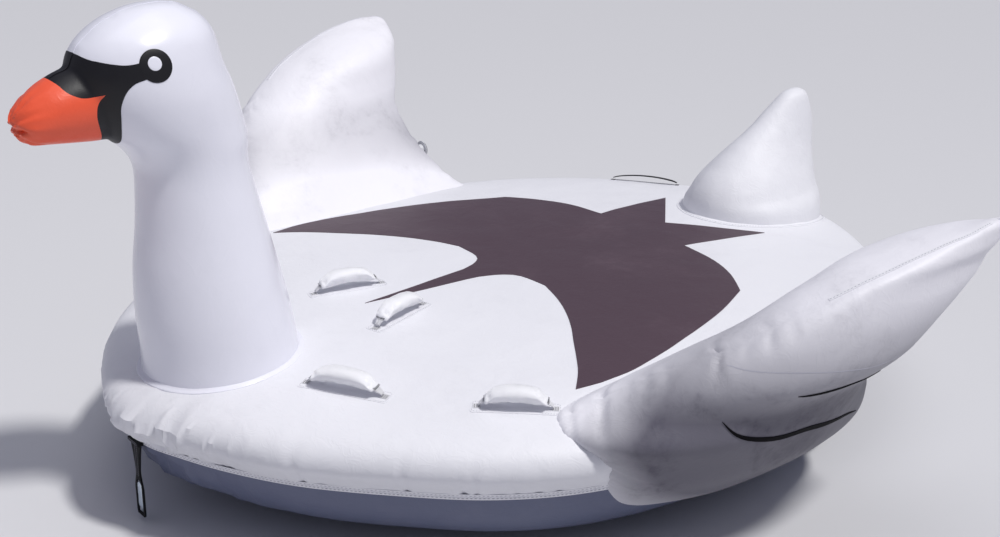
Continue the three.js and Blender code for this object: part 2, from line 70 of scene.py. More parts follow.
def smooth(rows, count, closed=False, spread=None):
    """Rows on the smooth curve through the given rows: count of them evenly, or one at each share in spread."""
    p = np.asarray(rows, float)
    n = len(p)
    parts = []
    t = np.linspace(0, 1, 24, endpoint=False)[:, None]
    for i in range(n if closed else n - 1):
        a, b, c, d = (p[(i + j - 1) % n] if closed else p[min(max(i + j - 1, 0), n - 1)] for j in range(4))
        parts.append(0.5 * (2 * b + (c - a) * t + (2 * a - 5 * b + 4 * c - d) * t**2
                            + (3 * b - a - 3 * c + d) * t**3))
    fine = np.vstack(parts + [p[:1] if closed else p[-1:]])
    run = np.r_[0, np.cumsum(np.linalg.norm(np.diff(fine, axis=0), axis=1))]
    share = spread if spread is not None else np.arange(count) / (count if closed else count - 1)
    return np.stack([np.interp(np.asarray(share) * run[-1], run, fine[:, k]) for k in range(p.shape[1])], 1)


def grain(points, scale, seed):
    """Smooth random values from about -1 to 1, the same in each run."""
    shift = Vector((seed * 7.31, seed * 3.17, seed * 5.77))
    return np.array([noise.noise(Vector(p) * scale + shift) for p in points])


def unit(v):
    return v / np.maximum(np.linalg.norm(v, axis=-1, keepdims=True), 1e-12)


def places_of(piece):
    return np.array([v.co for v in piece.data.vertices])


def ways_of(piece):
    return np.array([v.normal for v in piece.data.vertices])


def put(piece, places):
    """Moves all of a piece's points to the given places."""
    piece.data.vertices.foreach_set("co", places.ravel())
    piece.data.update()


# ---------------------------------------------------------------- making meshes
def object_mode():
    if bpy.context.object and bpy.context.object.mode != "OBJECT":
        bpy.ops.object.mode_set(mode="OBJECT")
    bpy.ops.object.select_all(action="DESELECT")


def named(name):
    piece = bpy.context.object
    piece.name = name
    piece.data.name = name
    return piece


def settle(piece, angle=40):
    """Turns the faces outwards, smooths the shading and puts the object's origin back at the frame's origin."""
    object_mode()
    bpy.context.view_layer.objects.active = piece
    piece.select_set(True)
    bpy.ops.object.transform_apply(location=True, rotation=True, scale=True)
    bpy.ops.object.mode_set(mode="EDIT")
    bpy.ops.mesh.select_all(action="SELECT")
    bpy.ops.mesh.normals_make_consistent(inside=False)
    bpy.ops.object.mode_set(mode="OBJECT")
    bpy.ops.object.shade_smooth_by_angle(angle=math.radians(angle))
    piece.select_set(False)
    return piece


def modify(piece, kind, **values):
    """Adds one modifier and applies it."""
    object_mode()
    bpy.context.view_layer.objects.active = piece
    modifier = piece.modifiers.new(kind.title(), kind)
    for key, value in values.items():
        setattr(modifier, key, value)
    bpy.ops.object.modifier_apply(modifier=modifier.name)
    return piece


def drop(*pieces):
    for piece in pieces:
        bpy.data.objects.remove(piece)


def loft(name, rings, ends=(True, True), angle=40):
    """A circle set on the first ring, extruded once for each further ring and drawn together at its ends."""
    rings = np.asarray(rings, float)
    count = rings.shape[1]
    object_mode()
    bpy.ops.mesh.primitive_circle_add(vertices=count, radius=1)
    piece = named(name)
    bpy.ops.object.mode_set(mode="EDIT")
    bpy.ops.mesh.select_all(action="SELECT")
    mesh = bmesh.from_edit_mesh(piece.data)
    for vert, place in zip(mesh.verts, rings[0]):
        vert.co = place
    column = list(range(count))
    for ring in rings[1:]:
        start = len(mesh.verts)
        bpy.ops.mesh.extrude_edges_indiv()
        mesh = bmesh.from_edit_mesh(piece.data)
        mesh.verts.ensure_lookup_table()
        mesh.verts.index_update()
        for index in range(start, start + count):
            vert = mesh.verts[index]
            for edge in vert.link_edges:
                other = edge.other_vert(vert).index
                if other < start:
                    column.append(column[other])
                    break
            vert.co = ring[column[index]]
    for end, wanted in ((1, ends[1]), (0, ends[0])):
        if not wanted:
            continue
        mesh = bmesh.from_edit_mesh(piece.data)
        mesh.verts.ensure_lookup_table()
        first = 0 if end == 0 else (len(rings) - 1) * count
        bpy.ops.mesh.select_all(action="DESELECT")
        loop = {mesh.verts[first + k] for k in range(count)}
        for edge in mesh.edges:
            if edge.verts[0] in loop and edge.verts[1] in loop:
                edge.select_set(True)
        bpy.ops.mesh.extrude_edges_indiv()
        bpy.ops.mesh.merge(type="CENTER")
    bmesh.update_edit_mesh(piece.data)
    return settle(piece, angle)


def spun(name, profile, centre, axis, steps=48, angle=35):
    """A turned piece: the profile's points (radius, height), joined and spun once round the axis."""
    object_mode()
    axis = Vector(axis).normalized()
    side = axis.orthogonal().normalized()
    bpy.ops.mesh.primitive_circle_add(vertices=len(profile), radius=1)
    piece = named(name)
    bpy.ops.object.mode_set(mode="EDIT")
    mesh = bmesh.from_edit_mesh(piece.data)
    for vert, (r, h) in zip(mesh.verts, profile):
        vert.co = Vector(centre) + side * r + axis * h
    bmesh.update_edit_mesh(piece.data)
    bpy.ops.mesh.select_all(action="SELECT")
    bpy.ops.mesh.spin(steps=steps, angle=2 * math.pi, center=centre, axis=axis)
    bpy.ops.mesh.select_all(action="SELECT")
    bpy.ops.mesh.remove_doubles(threshold=1e-6)
    return settle(piece, angle)


def slab(name, outline, pitch, thickness):
    """A flat plate cut to the outline, with a net of faces fine enough to be laid on a curved surface."""
    outline = np.asarray(outline, float)
    low, high = outline.min(0) - pitch, outline.max(0) + pitch
    span = high - low
    object_mode()
    cuts = [max(2, int(length / pitch)) for length in span]
    bpy.ops.mesh.primitive_grid_add(x_subdivisions=cuts[0], y_subdivisions=cuts[1], size=1,
                                    location=(*((low + high) / 2), 0))
    piece = named(name)
    piece.scale = (span[0], span[1], 1)
    bpy.ops.object.transform_apply(location=True, rotation=True, scale=True)
    modify(piece, "SOLIDIFY", thickness=thickness, offset=0)
    bpy.ops.mesh.primitive_circle_add(vertices=len(outline), radius=1, fill_type="NGON")
    cutter = named(name + "_cutter")
    for vert, (x, y) in zip(cutter.data.vertices, outline):
        vert.co = (x, y, 0)
    modify(cutter, "SOLIDIFY", thickness=thickness * 6, offset=0)
    settle(cutter)
    modify(piece, "BOOLEAN", object=cutter, operation="INTERSECT", solver="EXACT")
    drop(cutter)
    return piece


def surface_of(piece):
    return BVHTree.FromObject(piece, bpy.context.evaluated_depsgraph_get())


def rest_on(tree, points, lift=0.0):
    """The nearest places on a surface, raised by lift, and the surface's directions there."""
    places, ways = [], []
    for p in points:
        place, way, _, _ = tree.find_nearest(Vector(p))
        places.append(place + way * lift)
        ways.append(way)
    return np.array(places), np.array(ways)


def ribbon(name, tree, path, widths, lift, thickness):
    """A strip laid along a surface: five lines across, pressed to the surface, then given its thickness."""
    path = np.asarray(path, float)
    widths = np.broadcast_to(widths, len(path))
    middle, up = rest_on(tree, path)
    along = unit(np.gradient(middle, axis=0))
    side = unit(np.cross(along, up))

    def lines(shares, height):
        return [rest_on(tree, middle + side * (widths * share)[:, None], height)[0] for share in shares]

    rows = lines((-0.5, -0.25, 0, 0.25, 0.5), lift) + lines((0.47, 0, -0.47), lift - thickness)
    return loft(name, np.stack(rows, 1), angle=50)


def gathers(length, per_metre, depth, width, reach, seed):
    """Where the cloth is gathered along a seam: place, depth, half width and reach of each crease, in metres."""
    dice = np.random.default_rng(seed)
    count = int(length * per_metre)
    strong = dice.random(count) ** 1.5
    return np.column_stack([dice.random(count) * length, depth * (0.12 + 0.88 * strong),
                            width * (0.7 + 0.9 * dice.random(count)),
                            reach * (0.25 + 0.75 * strong) * (0.7 + 0.6 * dice.random(count))])


def gathered(along, away, marks, length, slant=0.0):
    """How far the creases pull the cloth in, at places given along the seam and away from it."""
    pull = np.zeros(np.broadcast_shapes(np.shape(along), np.shape(away)))
    for place, depth, width, reach in marks:
        step = np.mod(along - slant * away - place + length / 2, length) - length / 2
        spread = width * (0.8 + 0.5 * np.minimum(away / reach, 2))
        crease = np.exp(-((step / spread) ** 2)) - 0.42 * np.exp(-((step / (2.4 * spread)) ** 2))
        pull += depth * crease * np.exp(-((away / reach) ** 1.7))
    return pull


UP, FORWARD = (0.0, 0.0, 1.0), (0.0, -1.0, 0.0)
STITCH_PITCH = 8 * MM
STITCH = (2.6 * MM, 0.75 * MM, 0.6 * MM)        # half length, half width and half height of one stitch
stitch_rows = {}


def stitch_line(name, places, ups, pitch=STITCH_PITCH, size=STITCH):
    """Marks where the stitches of one seam go, evenly along the line."""
    places = np.asarray(places, float)
    ups = np.broadcast_to(np.asarray(ups, float), places.shape)
    run = np.r_[0, np.cumsum(np.linalg.norm(np.diff(places, axis=0), axis=1))]
    stops = np.arange(pitch / 2, run[-1], pitch)
    at = np.stack([np.interp(stops, run, places[:, k]) for k in range(3)], 1)
    up = np.stack([np.interp(stops, run, ups[:, k]) for k in range(3)], 1)
    along = np.gradient(places, axis=0)
    way = np.stack([np.interp(stops, run, along[:, k]) for k in range(3)], 1)
    stitch_rows.setdefault(name, []).append((at, unit(up), unit(way), size))


def sew(name):
    """One mesh of all the stitches marked under that name, each a copy of the same small pillow."""
    object_mode()
    bpy.ops.mesh.primitive_uv_sphere_add(segments=6, ring_count=4, radius=1)
    piece = named(name)
    verts = places_of(piece)
    faces = [list(f.vertices) for f in piece.data.polygons]
    places, polygons = [], []
    for at, up, way, size in stitch_rows.pop(name):
        side = unit(np.cross(up, way))
        for a, u, w, s in zip(at, unit(np.cross(way, side)), way, side):
            polygons += [[i + len(places) * len(verts) for i in f] for f in faces]
            places.append(a + verts @ np.stack([w * size[0], s * size[1], u * size[2]]))
    mesh = bpy.data.meshes.new(name)
    mesh.from_pydata(np.vstack(places).tolist(), [], polygons)
    piece.data = mesh
    return settle(piece, 80)


# ---------------------------------------------------------------- finishes
def group_of(name, inputs, outputs):
    group = bpy.data.node_groups.new(name, "ShaderNodeTree")
    for socket, kind, value in inputs:
        made = group.interface.new_socket(socket, in_out="INPUT", socket_type=kind)
        if value is not None:
            made.default_value = value
    for socket, kind in outputs:
        group.interface.new_socket(socket, in_out="OUTPUT", socket_type=kind)
    return group, group.nodes.new("NodeGroupInput"), group.nodes.new("NodeGroupOutput")


def maths(tree, operation, a, b=None, c=None):
    node = tree.nodes.new("ShaderNodeMath")
    node.operation = operation
    for socket, value in zip(node.inputs, (a, b, c)):
        if value is None:
            continue
        if isinstance(value, (int, float)):
            socket.default_value = value
        else:
            tree.links.new(value, socket)
    return node.outputs[0]


def noise_node(tree, vector, scale, detail=2.0, rough=0.5, distortion=0.0):
    node = tree.nodes.new("ShaderNodeTexNoise")
    node.inputs["Detail"].default_value = detail
    node.inputs["Roughness"].default_value = rough
    node.inputs["Distortion"].default_value = distortion
    tree.links.new(vector, node.inputs["Vector"])
    if isinstance(scale, (int, float)):
        node.inputs["Scale"].default_value = scale
    else:
        tree.links.new(scale, node.inputs["Scale"])
    return node.outputs["Fac"]


def ramp(tree, value, low, high):
    node = tree.nodes.new("ShaderNodeMapRange")
    node.inputs["From Min"].default_value = low
    node.inputs["From Max"].default_value = high
    tree.links.new(value, node.inputs["Value"])
    return node.outputs["Result"]


def make_crinkle():
    """Soft creases of coated cloth: broad swells with narrow ridges where the cloth has been folded."""
    group, given, made = group_of(
        "Crinkle", [("Vector", "NodeSocketVector", None), ("Scale", "NodeSocketFloat", 12.0)],
        [("Height", "NodeSocketFloat")])
    place, scale = given.outputs["Vector"], given.outputs["Scale"]
    broad = noise_node(group, place, scale, 3, 0.45, 0.6)
    fine = noise_node(group, place, maths(group, "MULTIPLY", scale, 3.3), 2, 0.5, 1.2)
    ridge = maths(group, "ABSOLUTE", maths(group, "SUBTRACT", fine, 0.5))
    ridge = maths(group, "SUBTRACT", 1.0, ramp(group, ridge, 0.0, 0.09))
    height = maths(group, "MULTIPLY_ADD", ridge, 0.05, broad)
    group.links.new(height, made.inputs["Height"])
    return group


def make_weave():
    """Plain weave in three flat views, each one taken where the surface faces it."""
    group, given, made = group_of(
        "Weave", [("Vector", "NodeSocketVector", None), ("Normal", "NodeSocketVector", None),
                  ("Pitch", "NodeSocketFloat", 0.0012)],
        [("Height", "NodeSocketFloat")])
    place = group.nodes.new("ShaderNodeSeparateXYZ")
    way = group.nodes.new("ShaderNodeSeparateXYZ")
    group.links.new(given.outputs["Vector"], place.inputs[0])
    group.links.new(given.outputs["Normal"], way.inputs[0])
    turn = maths(group, "DIVIDE", 2 * math.pi, given.outputs["Pitch"])
    waves = [maths(group, "SINE", maths(group, "MULTIPLY", place.outputs[k], turn)) for k in range(3)]
    total = None
    for k in range(3):
        crossing = maths(group, "MULTIPLY", waves[(k + 1) % 3], waves[(k + 2) % 3])
        share = maths(group, "MULTIPLY", crossing, maths(group, "ABSOLUTE", way.outputs[k]))
        total = share if total is None else maths(group, "ADD", total, share)
    group.links.new(total, made.inputs["Height"])
    return group


def make_smudges():
    """Dusty patches and faint scuffs, more of them where Amount is higher."""
    group, given, made = group_of(
        "Smudges", [("Vector", "NodeSocketVector", None), ("Scale", "NodeSocketFloat", 4.0),
                    ("Amount", "NodeSocketFloat", 0.5)],
        [("Mask", "NodeSocketFloat")])
    place, scale = given.outputs["Vector"], given.outputs["Scale"]
    cloud = ramp(group, noise_node(group, place, scale, 5, 0.62, 0.4), 0.5, 0.78)
    speck = noise_node(group, place, maths(group, "MULTIPLY", scale, 9), 4, 0.7)
    speck = ramp(group, speck, 0.46, 0.72)
    both = maths(group, "MULTIPLY", cloud, maths(group, "MULTIPLY_ADD", speck, 0.7, 0.3))
    group.links.new(maths(group, "MULTIPLY", both, given.outputs["Amount"]), made.inputs["Mask"])
    return group


CRINKLE, WEAVE, SMUDGES = make_crinkle(), make_weave(), make_smudges()
ROUGHER_WHERE_DUSTY = 0.12
COAT_ROUGHNESS = 0.12


def finish(name, colour, dust_and_shade_colour, rough, dust, dust_scale, crinkle, weave=(0.0012, 0.0), metallic=0.0,
           coat=0.0, sheen=0.0, painted_shade=None, shine=0.5):
    """A procedural finish: colour with patches of dust, roughness that varies with them, creases and weave.

    crinkle is the creases' scale and depth, weave its pitch and depth, in metres. painted_shade darkens a piece's
    low and outer parts as painted shade, in the same second colour that the dust uses: height where it starts,
    height where it is full, amount, and the same two from the middle.
    """
    material = bpy.data.materials.new(name)
    material.use_nodes = True
    tree = material.node_tree
    shader = tree.nodes["Principled BSDF"]
    where = tree.nodes.new("ShaderNodeTexCoord")
    form = tree.nodes.new("ShaderNodeNewGeometry")

    def placed(group, **values):
        node = tree.nodes.new("ShaderNodeGroup")
        node.node_tree = group
        tree.links.new(where.outputs["Object"], node.inputs["Vector"])
        for key, value in values.items():
            node.inputs[key].default_value = value
        return node

    marks = placed(SMUDGES, Scale=dust_scale, Amount=dust)
    tint = tree.nodes.new("ShaderNodeMix")
    tint.data_type = "RGBA"
    tint.inputs["A"].default_value = (*colour, 1)
    tint.inputs["B"].default_value = (*dust_and_shade_colour, 1)
    share = marks.outputs["Mask"]
    # Painted shade: the colour is darkened towards the bottom and the outer side of the piece, where it faces down
    # into shade.
    if painted_shade:
        high, low, amount, inner, outer = painted_shade
        place = tree.nodes.new("ShaderNodeSeparateXYZ")
        tree.links.new(where.outputs["Object"], place.inputs[0])
        level = maths(tree, "MULTIPLY", ramp(tree, place.outputs["Z"], high, low), amount)
        outer = ramp(tree, maths(tree, "ABSOLUTE", place.outputs["X"]), inner, outer)
        level = maths(tree, "MULTIPLY", level, outer)
        share = maths(tree, "MINIMUM", maths(tree, "ADD", share, level), 1.0)
    tree.links.new(share, tint.inputs["Factor"])
    tree.links.new(tint.outputs["Result"], shader.inputs["Base Color"])
    roughness = maths(tree, "MULTIPLY_ADD", marks.outputs["Mask"], ROUGHER_WHERE_DUSTY, rough)
    tree.links.new(roughness, shader.inputs["Roughness"])
    normal = None
    for group, (scale, depth), key in ((CRINKLE, crinkle, "Scale"), (WEAVE, weave, "Pitch")):
        if not depth:
            continue
        node = placed(group, **{key: scale})
        if group is WEAVE:
            tree.links.new(form.outputs["Normal"], node.inputs["Normal"])
        bump = tree.nodes.new("ShaderNodeBump")
        bump.inputs["Distance"].default_value = depth
        tree.links.new(node.outputs["Height"], bump.inputs["Height"])
        if normal:
            tree.links.new(normal, bump.inputs["Normal"])
        normal = bump.outputs["Normal"]
    if normal:
        tree.links.new(normal, shader.inputs["Normal"])
    shader.inputs["Metallic"].default_value = metallic
    shader.inputs["Specular IOR Level"].default_value = shine
    shader.inputs["Coat Weight"].default_value = coat
    shader.inputs["Coat Roughness"].default_value = COAT_ROUGHNESS
    shader.inputs["Sheen Weight"].default_value = sheen
    return material


COVER = finish("cover_white_cloth", (0.79, 0.79, 0.83), (0.52, 0.51, 0.55), 0.55, 0.34, 3.0, (9.0, 0.0035),
               sheen=0.05)
# The wings' second colour is near black because it is also the painted shade on their low outer faces, from 0.61 m
# down to 0.38 m and from 0.76 m out to 0.90 m.
WING_CLOTH = finish("wing_white_cloth", (0.85, 0.84, 0.89), (0.085, 0.08, 0.11), 0.52, 0.30, 4.5, (7.0, 0.0035),
                    painted_shade=(0.61, 0.38, 0.94, 0.76, 0.90))
HULL_GREY = finish("hull_grey_cloth", (0.12, 0.135, 0.215), (0.22, 0.22, 0.29), 0.5, 0.5, 5.0, (8.0, 0.004))
PANEL = finish("deck_print", (0.062, 0.033, 0.048), (0.15, 0.10, 0.125), 0.55, 0.55, 3.5, (10.0, 0.003), sheen=0.1)
VINYL = finish("white_vinyl", (0.83, 0.83, 0.91), (0.64, 0.64, 0.70), 0.26, 0.25, 3.0, (3.0, 0.002), coat=0.3)
ORANGE = finish("orange_vinyl", (0.88, 0.11, 0.045), (0.55, 0.07, 0.04), 0.4, 0.4, 9.0, (22.0, 0.0016), coat=0.04)
BLACK = finish("black_vinyl", (0.006, 0.0055, 0.008), (0.02, 0.022, 0.028), 0.46, 0.5, 7.0, (16.0, 0.001), shine=0.4)
INK = finish("printed_black", (0.004, 0.0035, 0.005), (0.015, 0.013, 0.018), 0.75, 0.4, 9.0, (20.0, 0.0005),
             shine=0.08)
PADDING = finish("handle_cloth", (0.95, 0.95, 0.98), (0.70, 0.68, 0.70), 0.6, 0.18, 14.0, (40.0, 0.0008),
                 (0.0016, 0.00018), sheen=0.8)
WEBBING_WEAVE = (0.0022, 0.0005)
WHITE_WEB = finish("white_webbing", (0.78, 0.78, 0.81), (0.50, 0.48, 0.49), 0.7, 0.5, 18.0, (60.0, 0.0004),
                   WEBBING_WEAVE)
BLACK_WEB = finish("black_webbing", (0.008, 0.008, 0.010), (0.04, 0.038, 0.04), 0.62, 0.3, 20.0, (60.0, 0.0004),
                   WEBBING_WEAVE, shine=0.25)
THREAD = finish("pale_thread", (0.44, 0.44, 0.50), (0.36, 0.35, 0.38), 0.6, 0.5, 25.0, (90.0, 0.0003))
DARK_THREAD = finish("dark_thread", (0.05, 0.05, 0.06), (0.12, 0.12, 0.13), 0.6, 0.5, 25.0, (90.0, 0.0003))
ALLOY = finish("tow_alloy", (0.80, 0.90, 0.98), (0.50, 0.64, 0.74), 0.22, 0.6, 30.0, (60.0, 0.0004), metallic=0.45)
VALVE = finish("valve_moulding", (0.60, 0.61, 0.64), (0.38, 0.38, 0.40), 0.42, 0.4, 30.0, (80.0, 0.0002))
CAP = finish("cap_moulding", (0.035, 0.038, 0.045), (0.11, 0.11, 0.12), 0.42, 0.5, 30.0, (80.0, 0.0002))
FILM = finish("bladder_film", (0.52, 0.57, 0.62), (0.40, 0.44, 0.48), 0.35, 0.3, 5.0, (10.0, 0.002))


def fit_out(piece, body, slot, material, *nodes):
    """Gives a finished piece its material and its body and hides the CAD nodes that it stands for; slot is not used.
    """
    object_mode()
    piece.data.materials.clear()
    piece.data.materials.append(material)
    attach(piece, body)
    if nodes:
        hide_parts(*nodes)
    return piece


# ---------------------------------------------------------------- stage
object_mode()
bpy.ops.mesh.primitive_plane_add(size=40, location=(0, 0, 0))
floor = named("floor")
floor_finish = bpy.data.materials.new("floor_paint")
floor_finish.use_nodes = True
floor_shader = floor_finish.node_tree.nodes["Principled BSDF"]
floor_shader.inputs["Base Color"].default_value = (0.66, 0.66, 0.68, 1)
floor_shader.inputs["Roughness"].default_value = 0.85
floor.data.materials.append(floor_finish)

camera_data = bpy.data.cameras.new("camera")
camera_data.lens = 57.35
camera_data.sensor_width = 36
camera = bpy.data.objects.new("camera", camera_data)
camera.location = (3.008, -2.275, 1.785)
camera.rotation_euler = (math.radians(69.598), 0, math.radians(52.55))
bpy.context.scene.collection.objects.link(camera)
bpy.context.scene.camera = camera

world = bpy.data.worlds.new("studio")
world.use_nodes = True
world.node_tree.nodes["Background"].inputs["Color"].default_value = (0.76, 0.79, 1.0, 1)
world.node_tree.nodes["Background"].inputs["Strength"].default_value = 0.28
bpy.context.scene.world = world
bpy.context.scene.view_settings.view_transform = "Standard"


def lamp(name, kind, energy, place, aim, size, colour=(1, 1, 1)):
    data = bpy.data.lights.new(name, kind)
    data.energy = energy
    data.color = colour
    if kind == "SUN":
        data.angle = math.radians(size)
    else:
        data.size = size
    light = bpy.data.objects.new(name, data)
    light.location = place
    light.rotation_euler = (Vector(aim) - Vector(place)).to_track_quat("-Z", "Y").to_euler()
    bpy.context.scene.collection.objects.link(light)


lamp("key", "SUN", 2.4, (2.7, 1.05, 5.6), (0, 0, 0.3), 7, (1.0, 0.985, 0.96))
lamp("fill", "AREA", 34, (0.2, -0.5, 4.6), (0, 0.1, 0.3), 3.2, (0.97, 0.97, 1.0))

# ---------------------------------------------------------------- hull
OUTLINE = [
    (0, -0.43), (0.1, -0.402), (0.2, -0.357), (0.295, -0.297), (0.4, -0.203), (0.485, -0.112), (0.546, -0.012),
    (0.583, 0.1), (0.6, 0.22), (0.602, 0.34), (0.59, 0.46), (0.563, 0.58), (0.525, 0.69), (0.465, 0.79),
    (0.39, 0.875), (0.3, 0.95), (0.2, 1.015), (0.1, 1.06), (0, 1.08),
]
UNDER = [(1, SEAM), (0.988, -0.16), (0.968, -0.188), (0.93, -0.215), (0.87, -0.238), (0.77, -0.256),
         (0.62, -0.268), (0.46, -0.2735), (0.36, -DECK), (0.02, -DECK)]
OVER = [(1, SEAM), (1.024, -0.11), (1.044, -0.087), (1.034, -0.06), (0.98, -0.039), (0.86, -0.024),
        (0.68, -0.013), (0.48, -0.005), (0.25, -0.001), (0.012, 0)]
TOP_POINTS, BOTTOM_POINTS = 1120, 640       # points round each cover
CLOTH = 3 * MM                              # thickness of the covers' walls
fine_outline = smooth(mirrored(OUTLINE), 1440, closed=True)
outline_turn = np.arctan2(fine_outline[:, 0], HULL_CENTRE - fine_outline[:, 1])
outline_reach = np.hypot(fine_outline[:, 0], fine_outline[:, 1] - HULL_CENTRE)
over_profile = smooth(OVER, 400)
inner = over_profile[np.argmax(over_profile[:, 0]):][::-1]      # the deck's section, from its middle outwards


def share_of(x, y):
    """How far out a place on the deck is, from 0 in the middle to 1 above the seam."""
    reach = np.interp(np.arctan2(x, HULL_CENTRE - y), outline_turn, outline_reach, period=2 * math.pi)
    return np.hypot(x, y - HULL_CENTRE) / reach


def ripple(x, y):
    """The deck's own slight unevenness, in metres."""
    points = np.stack([x, y, np.zeros_like(x)], -1).reshape(-1, 3)
    broad = 2.2 * MM * grain(points, 6, 1)
    tight = 0.9 * MM * grain(points, 19, 2)
    return (broad + tight).reshape(np.shape(x))


def deck_top(x, y):
    """The deck's height in metres at a place given in the tube's unit."""
    x, y = np.asarray(x, float), np.asarray(y, float)
    return UNIT * (np.interp(share_of(x, y), inner[:, 0], inner[:, 1]) + DECK) + ripple(x, y)


FOLDS_PER_METRE, FOLD_WIDTH = 30, 7 * MM
SEWN_FLAT = 0.007           # how far from the seam the cloth is still held down, in metres
BOW_MIDDLE, BOW_WIDTH, BOW_REACH = 0.07, 0.13, 0.2


def hull_rings(profile, columns, fold_reach, fold_depth):
    """Rings from the seam inwards, with folds that stand across the seam and die away from it."""
    line = smooth(mirrored(OUTLINE), columns, closed=True)
    around = unit(np.roll(line, -1, 0) - np.roll(line, 1, 0))
    out = np.stack([around[:, 1], -around[:, 0], np.zeros(columns)], 1)
    base = np.column_stack([line * UNIT, np.zeros(columns)])
    steps = np.linalg.norm(np.roll(base, -1, 0) - base, axis=1)
    around_run, girth = np.cumsum(steps), steps.sum()
    marks = gathers(girth, FOLDS_PER_METRE, 3.6 * fold_depth, FOLD_WIDTH, fold_reach, 3)
    wide = grain(base, 9, 4)
    bow = np.exp(-(((line[:, 0] - BOW_MIDDLE) / BOW_WIDTH) ** 2)) * (line[:, 1] < 0)
    rings, run = [], 0.0
    last = profile[0]
    for s, z in profile:
        run += UNIT * math.hypot((s - last[0]) * 0.62, z - last[1])
        last = (s, z)
        x, y = line[:, 0] * s, HULL_CENTRE + (line[:, 1] - HULL_CENTRE) * s
        ring = spot(x, y, z)
        held = 1 - math.exp(-run / SEWN_FLAT)
        drift = grain(base + [0, 0, run * 1.2], 26, 5) * 0.35
        pull = gathered(around_run, run, marks, girth)
        push = held * (fold_depth * math.exp(-run / (2 * fold_reach)) * (1.3 * wide + drift) - pull)
        near = bow * held * math.exp(-((run / BOW_REACH) ** 3))
        ridge = np.abs(grain(ring * [1, 1, 1.4], 15, 7))
        crumple = grain(ring, 13, 6) * 12 * MM + (0.2 - np.minimum(ridge, 0.2)) * 60 * MM - 6 * MM
        ring = ring + out * (push + near * crumple)[:, None]
        flat = float(np.clip((z + 0.045) / 0.02, 0, 1)) if z > SEAM else 0.0
        ring[:, 2] += flat * ripple(x, y)
        rings.append(ring)
    return rings


top_section = smooth(OVER, 0, spread=np.linspace(0, 1, 38) ** 1.75)
top = loft("deck_cover", hull_rings(top_section, TOP_POINTS, 0.085, 3.2 * MM), ends=(False, True))
modify(top, "SOLIDIFY", thickness=CLOTH, offset=-1)
fit_out(top, "hull", "cover_white", COVER, "top_cover")

bottom_section = smooth(UNDER, 0, spread=np.linspace(0, 1, 26) ** 1.6)
bottom = loft("bottom_shell", hull_rings(bottom_section, BOTTOM_POINTS, 0.06, 1.5 * MM), ends=(False, True))
modify(bottom, "SOLIDIFY", thickness=CLOTH, offset=-1)
fit_out(bottom, "hull", "cover_grey", HULL_GREY, "bottom_cover")

# ---------------------------------------------------------------- hull seam tapes
seam_profile = np.array(list(reversed(UNDER[:4])) + OVER[1:4])


def seam_tape(name, node, material, slot, is_bow):
    """A taped seam between the two covers, from one wing to the other, with two sewn rows."""
    low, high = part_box(node)
    line = smooth(mirrored(OUTLINE), 900, closed=True)
    limit = (high.y if is_bow else low.y) / UNIT + MIDDLE
    keep = line[:, 1] < limit - 0.004 if is_bow else line[:, 1] > limit + 0.004
    order = np.where(keep)[0]
    jump = np.where(np.diff(order) > 1)[0]
    if len(jump):
        order = np.r_[order[jump[0] + 1:], order[:jump[0] + 1]]
    line = line[order]
    along = unit(np.gradient(line, axis=0))
    out = np.stack([along[:, 1], -along[:, 0], np.zeros(len(line))], 1)
    if np.mean(out[:, 1] * (line[:, 1] - HULL_CENTRE)) < 0:
        out = -out

    def row(dz, lift):
        z = SEAM + dz * MM / UNIT
        s = np.interp(z, seam_profile[:, 1], seam_profile[:, 0])
        return spot(line[:, 0] * s, HULL_CENTRE + (line[:, 1] - HULL_CENTRE) * s, z) + out * lift * MM

    section = [(-9.5, 0.3), (-9, 1.6), (-6, 2.3), (-2.2, 2.2), (0, 1.0), (2.2, 2.4), (6, 2.6), (9, 1.9),
               (9.5, 0.4), (0, -1.4)]
    rows = np.stack([row(dz, lift) for dz, lift in section], 1)
    tape = loft(name, rows[::2], angle=60)
    fit_out(tape, "hull", slot, material, node)
    for dz in (-4.2, 4.4):
        stitch_line(name + "_stitching", row(dz, 2.5), out, 9 * MM, (3.0 * MM, 0.9 * MM, 0.7 * MM))
    fit_out(sew(name + "_stitching"), "hull", slot, THREAD)


seam_tape("bow_seam_tape", "seam_tape_bow", COVER, "cover_white", True)
seam_tape("stern_seam_tape", "seam_tape_stern", COVER, "cover_grey", False)

# ---------------------------------------------------------------- wings
# Each row: height, front x and y, rear x and y, and how far the wing swells outwards and inwards.
WING = np.array([
    (-0.215, 0.50, 0.14, 0.46, 0.56, 0.05, 0.09), (-0.18, 0.52, 0.08, 0.48, 0.62, 0.115, 0.1),
    (-0.13, 0.545, 0.05, 0.50, 0.63, 0.155, 0.12), (-0.08, 0.53, 0.02, 0.49, 0.62, 0.2, 0.11),
    (-0.04, 0.515, 0, 0.50, 0.59, 0.225, 0.07), (0, 0.545, 0.06, 0.575, 0.56, 0.19, 0.06),
    (0.05, 0.61, 0.12, 0.65, 0.56, 0.165, 0.065), (0.1, 0.685, 0.185, 0.715, 0.58, 0.11, 0.08),
    (0.15, 0.74, 0.265, 0.76, 0.605, 0.068, 0.095), (0.185, 0.775, 0.335, 0.78, 0.615, 0.045, 0.1),
    (0.207, 0.797, 0.405, 0.795, 0.625, 0.035, 0.088), (0.225, 0.812, 0.47, 0.806, 0.628, 0.022, 0.06),
    (0.235, 0.82, 0.525, 0.812, 0.628, 0.013, 0.028), (0.2405, 0.821, 0.556, 0.815, 0.617, 0.007, 0.015),
    (0.2425, 0.82, 0.577, 0.817, 0.6, 0.002, 0.004),
])
WING_COLUMNS = 128
WING_ROWS = 170
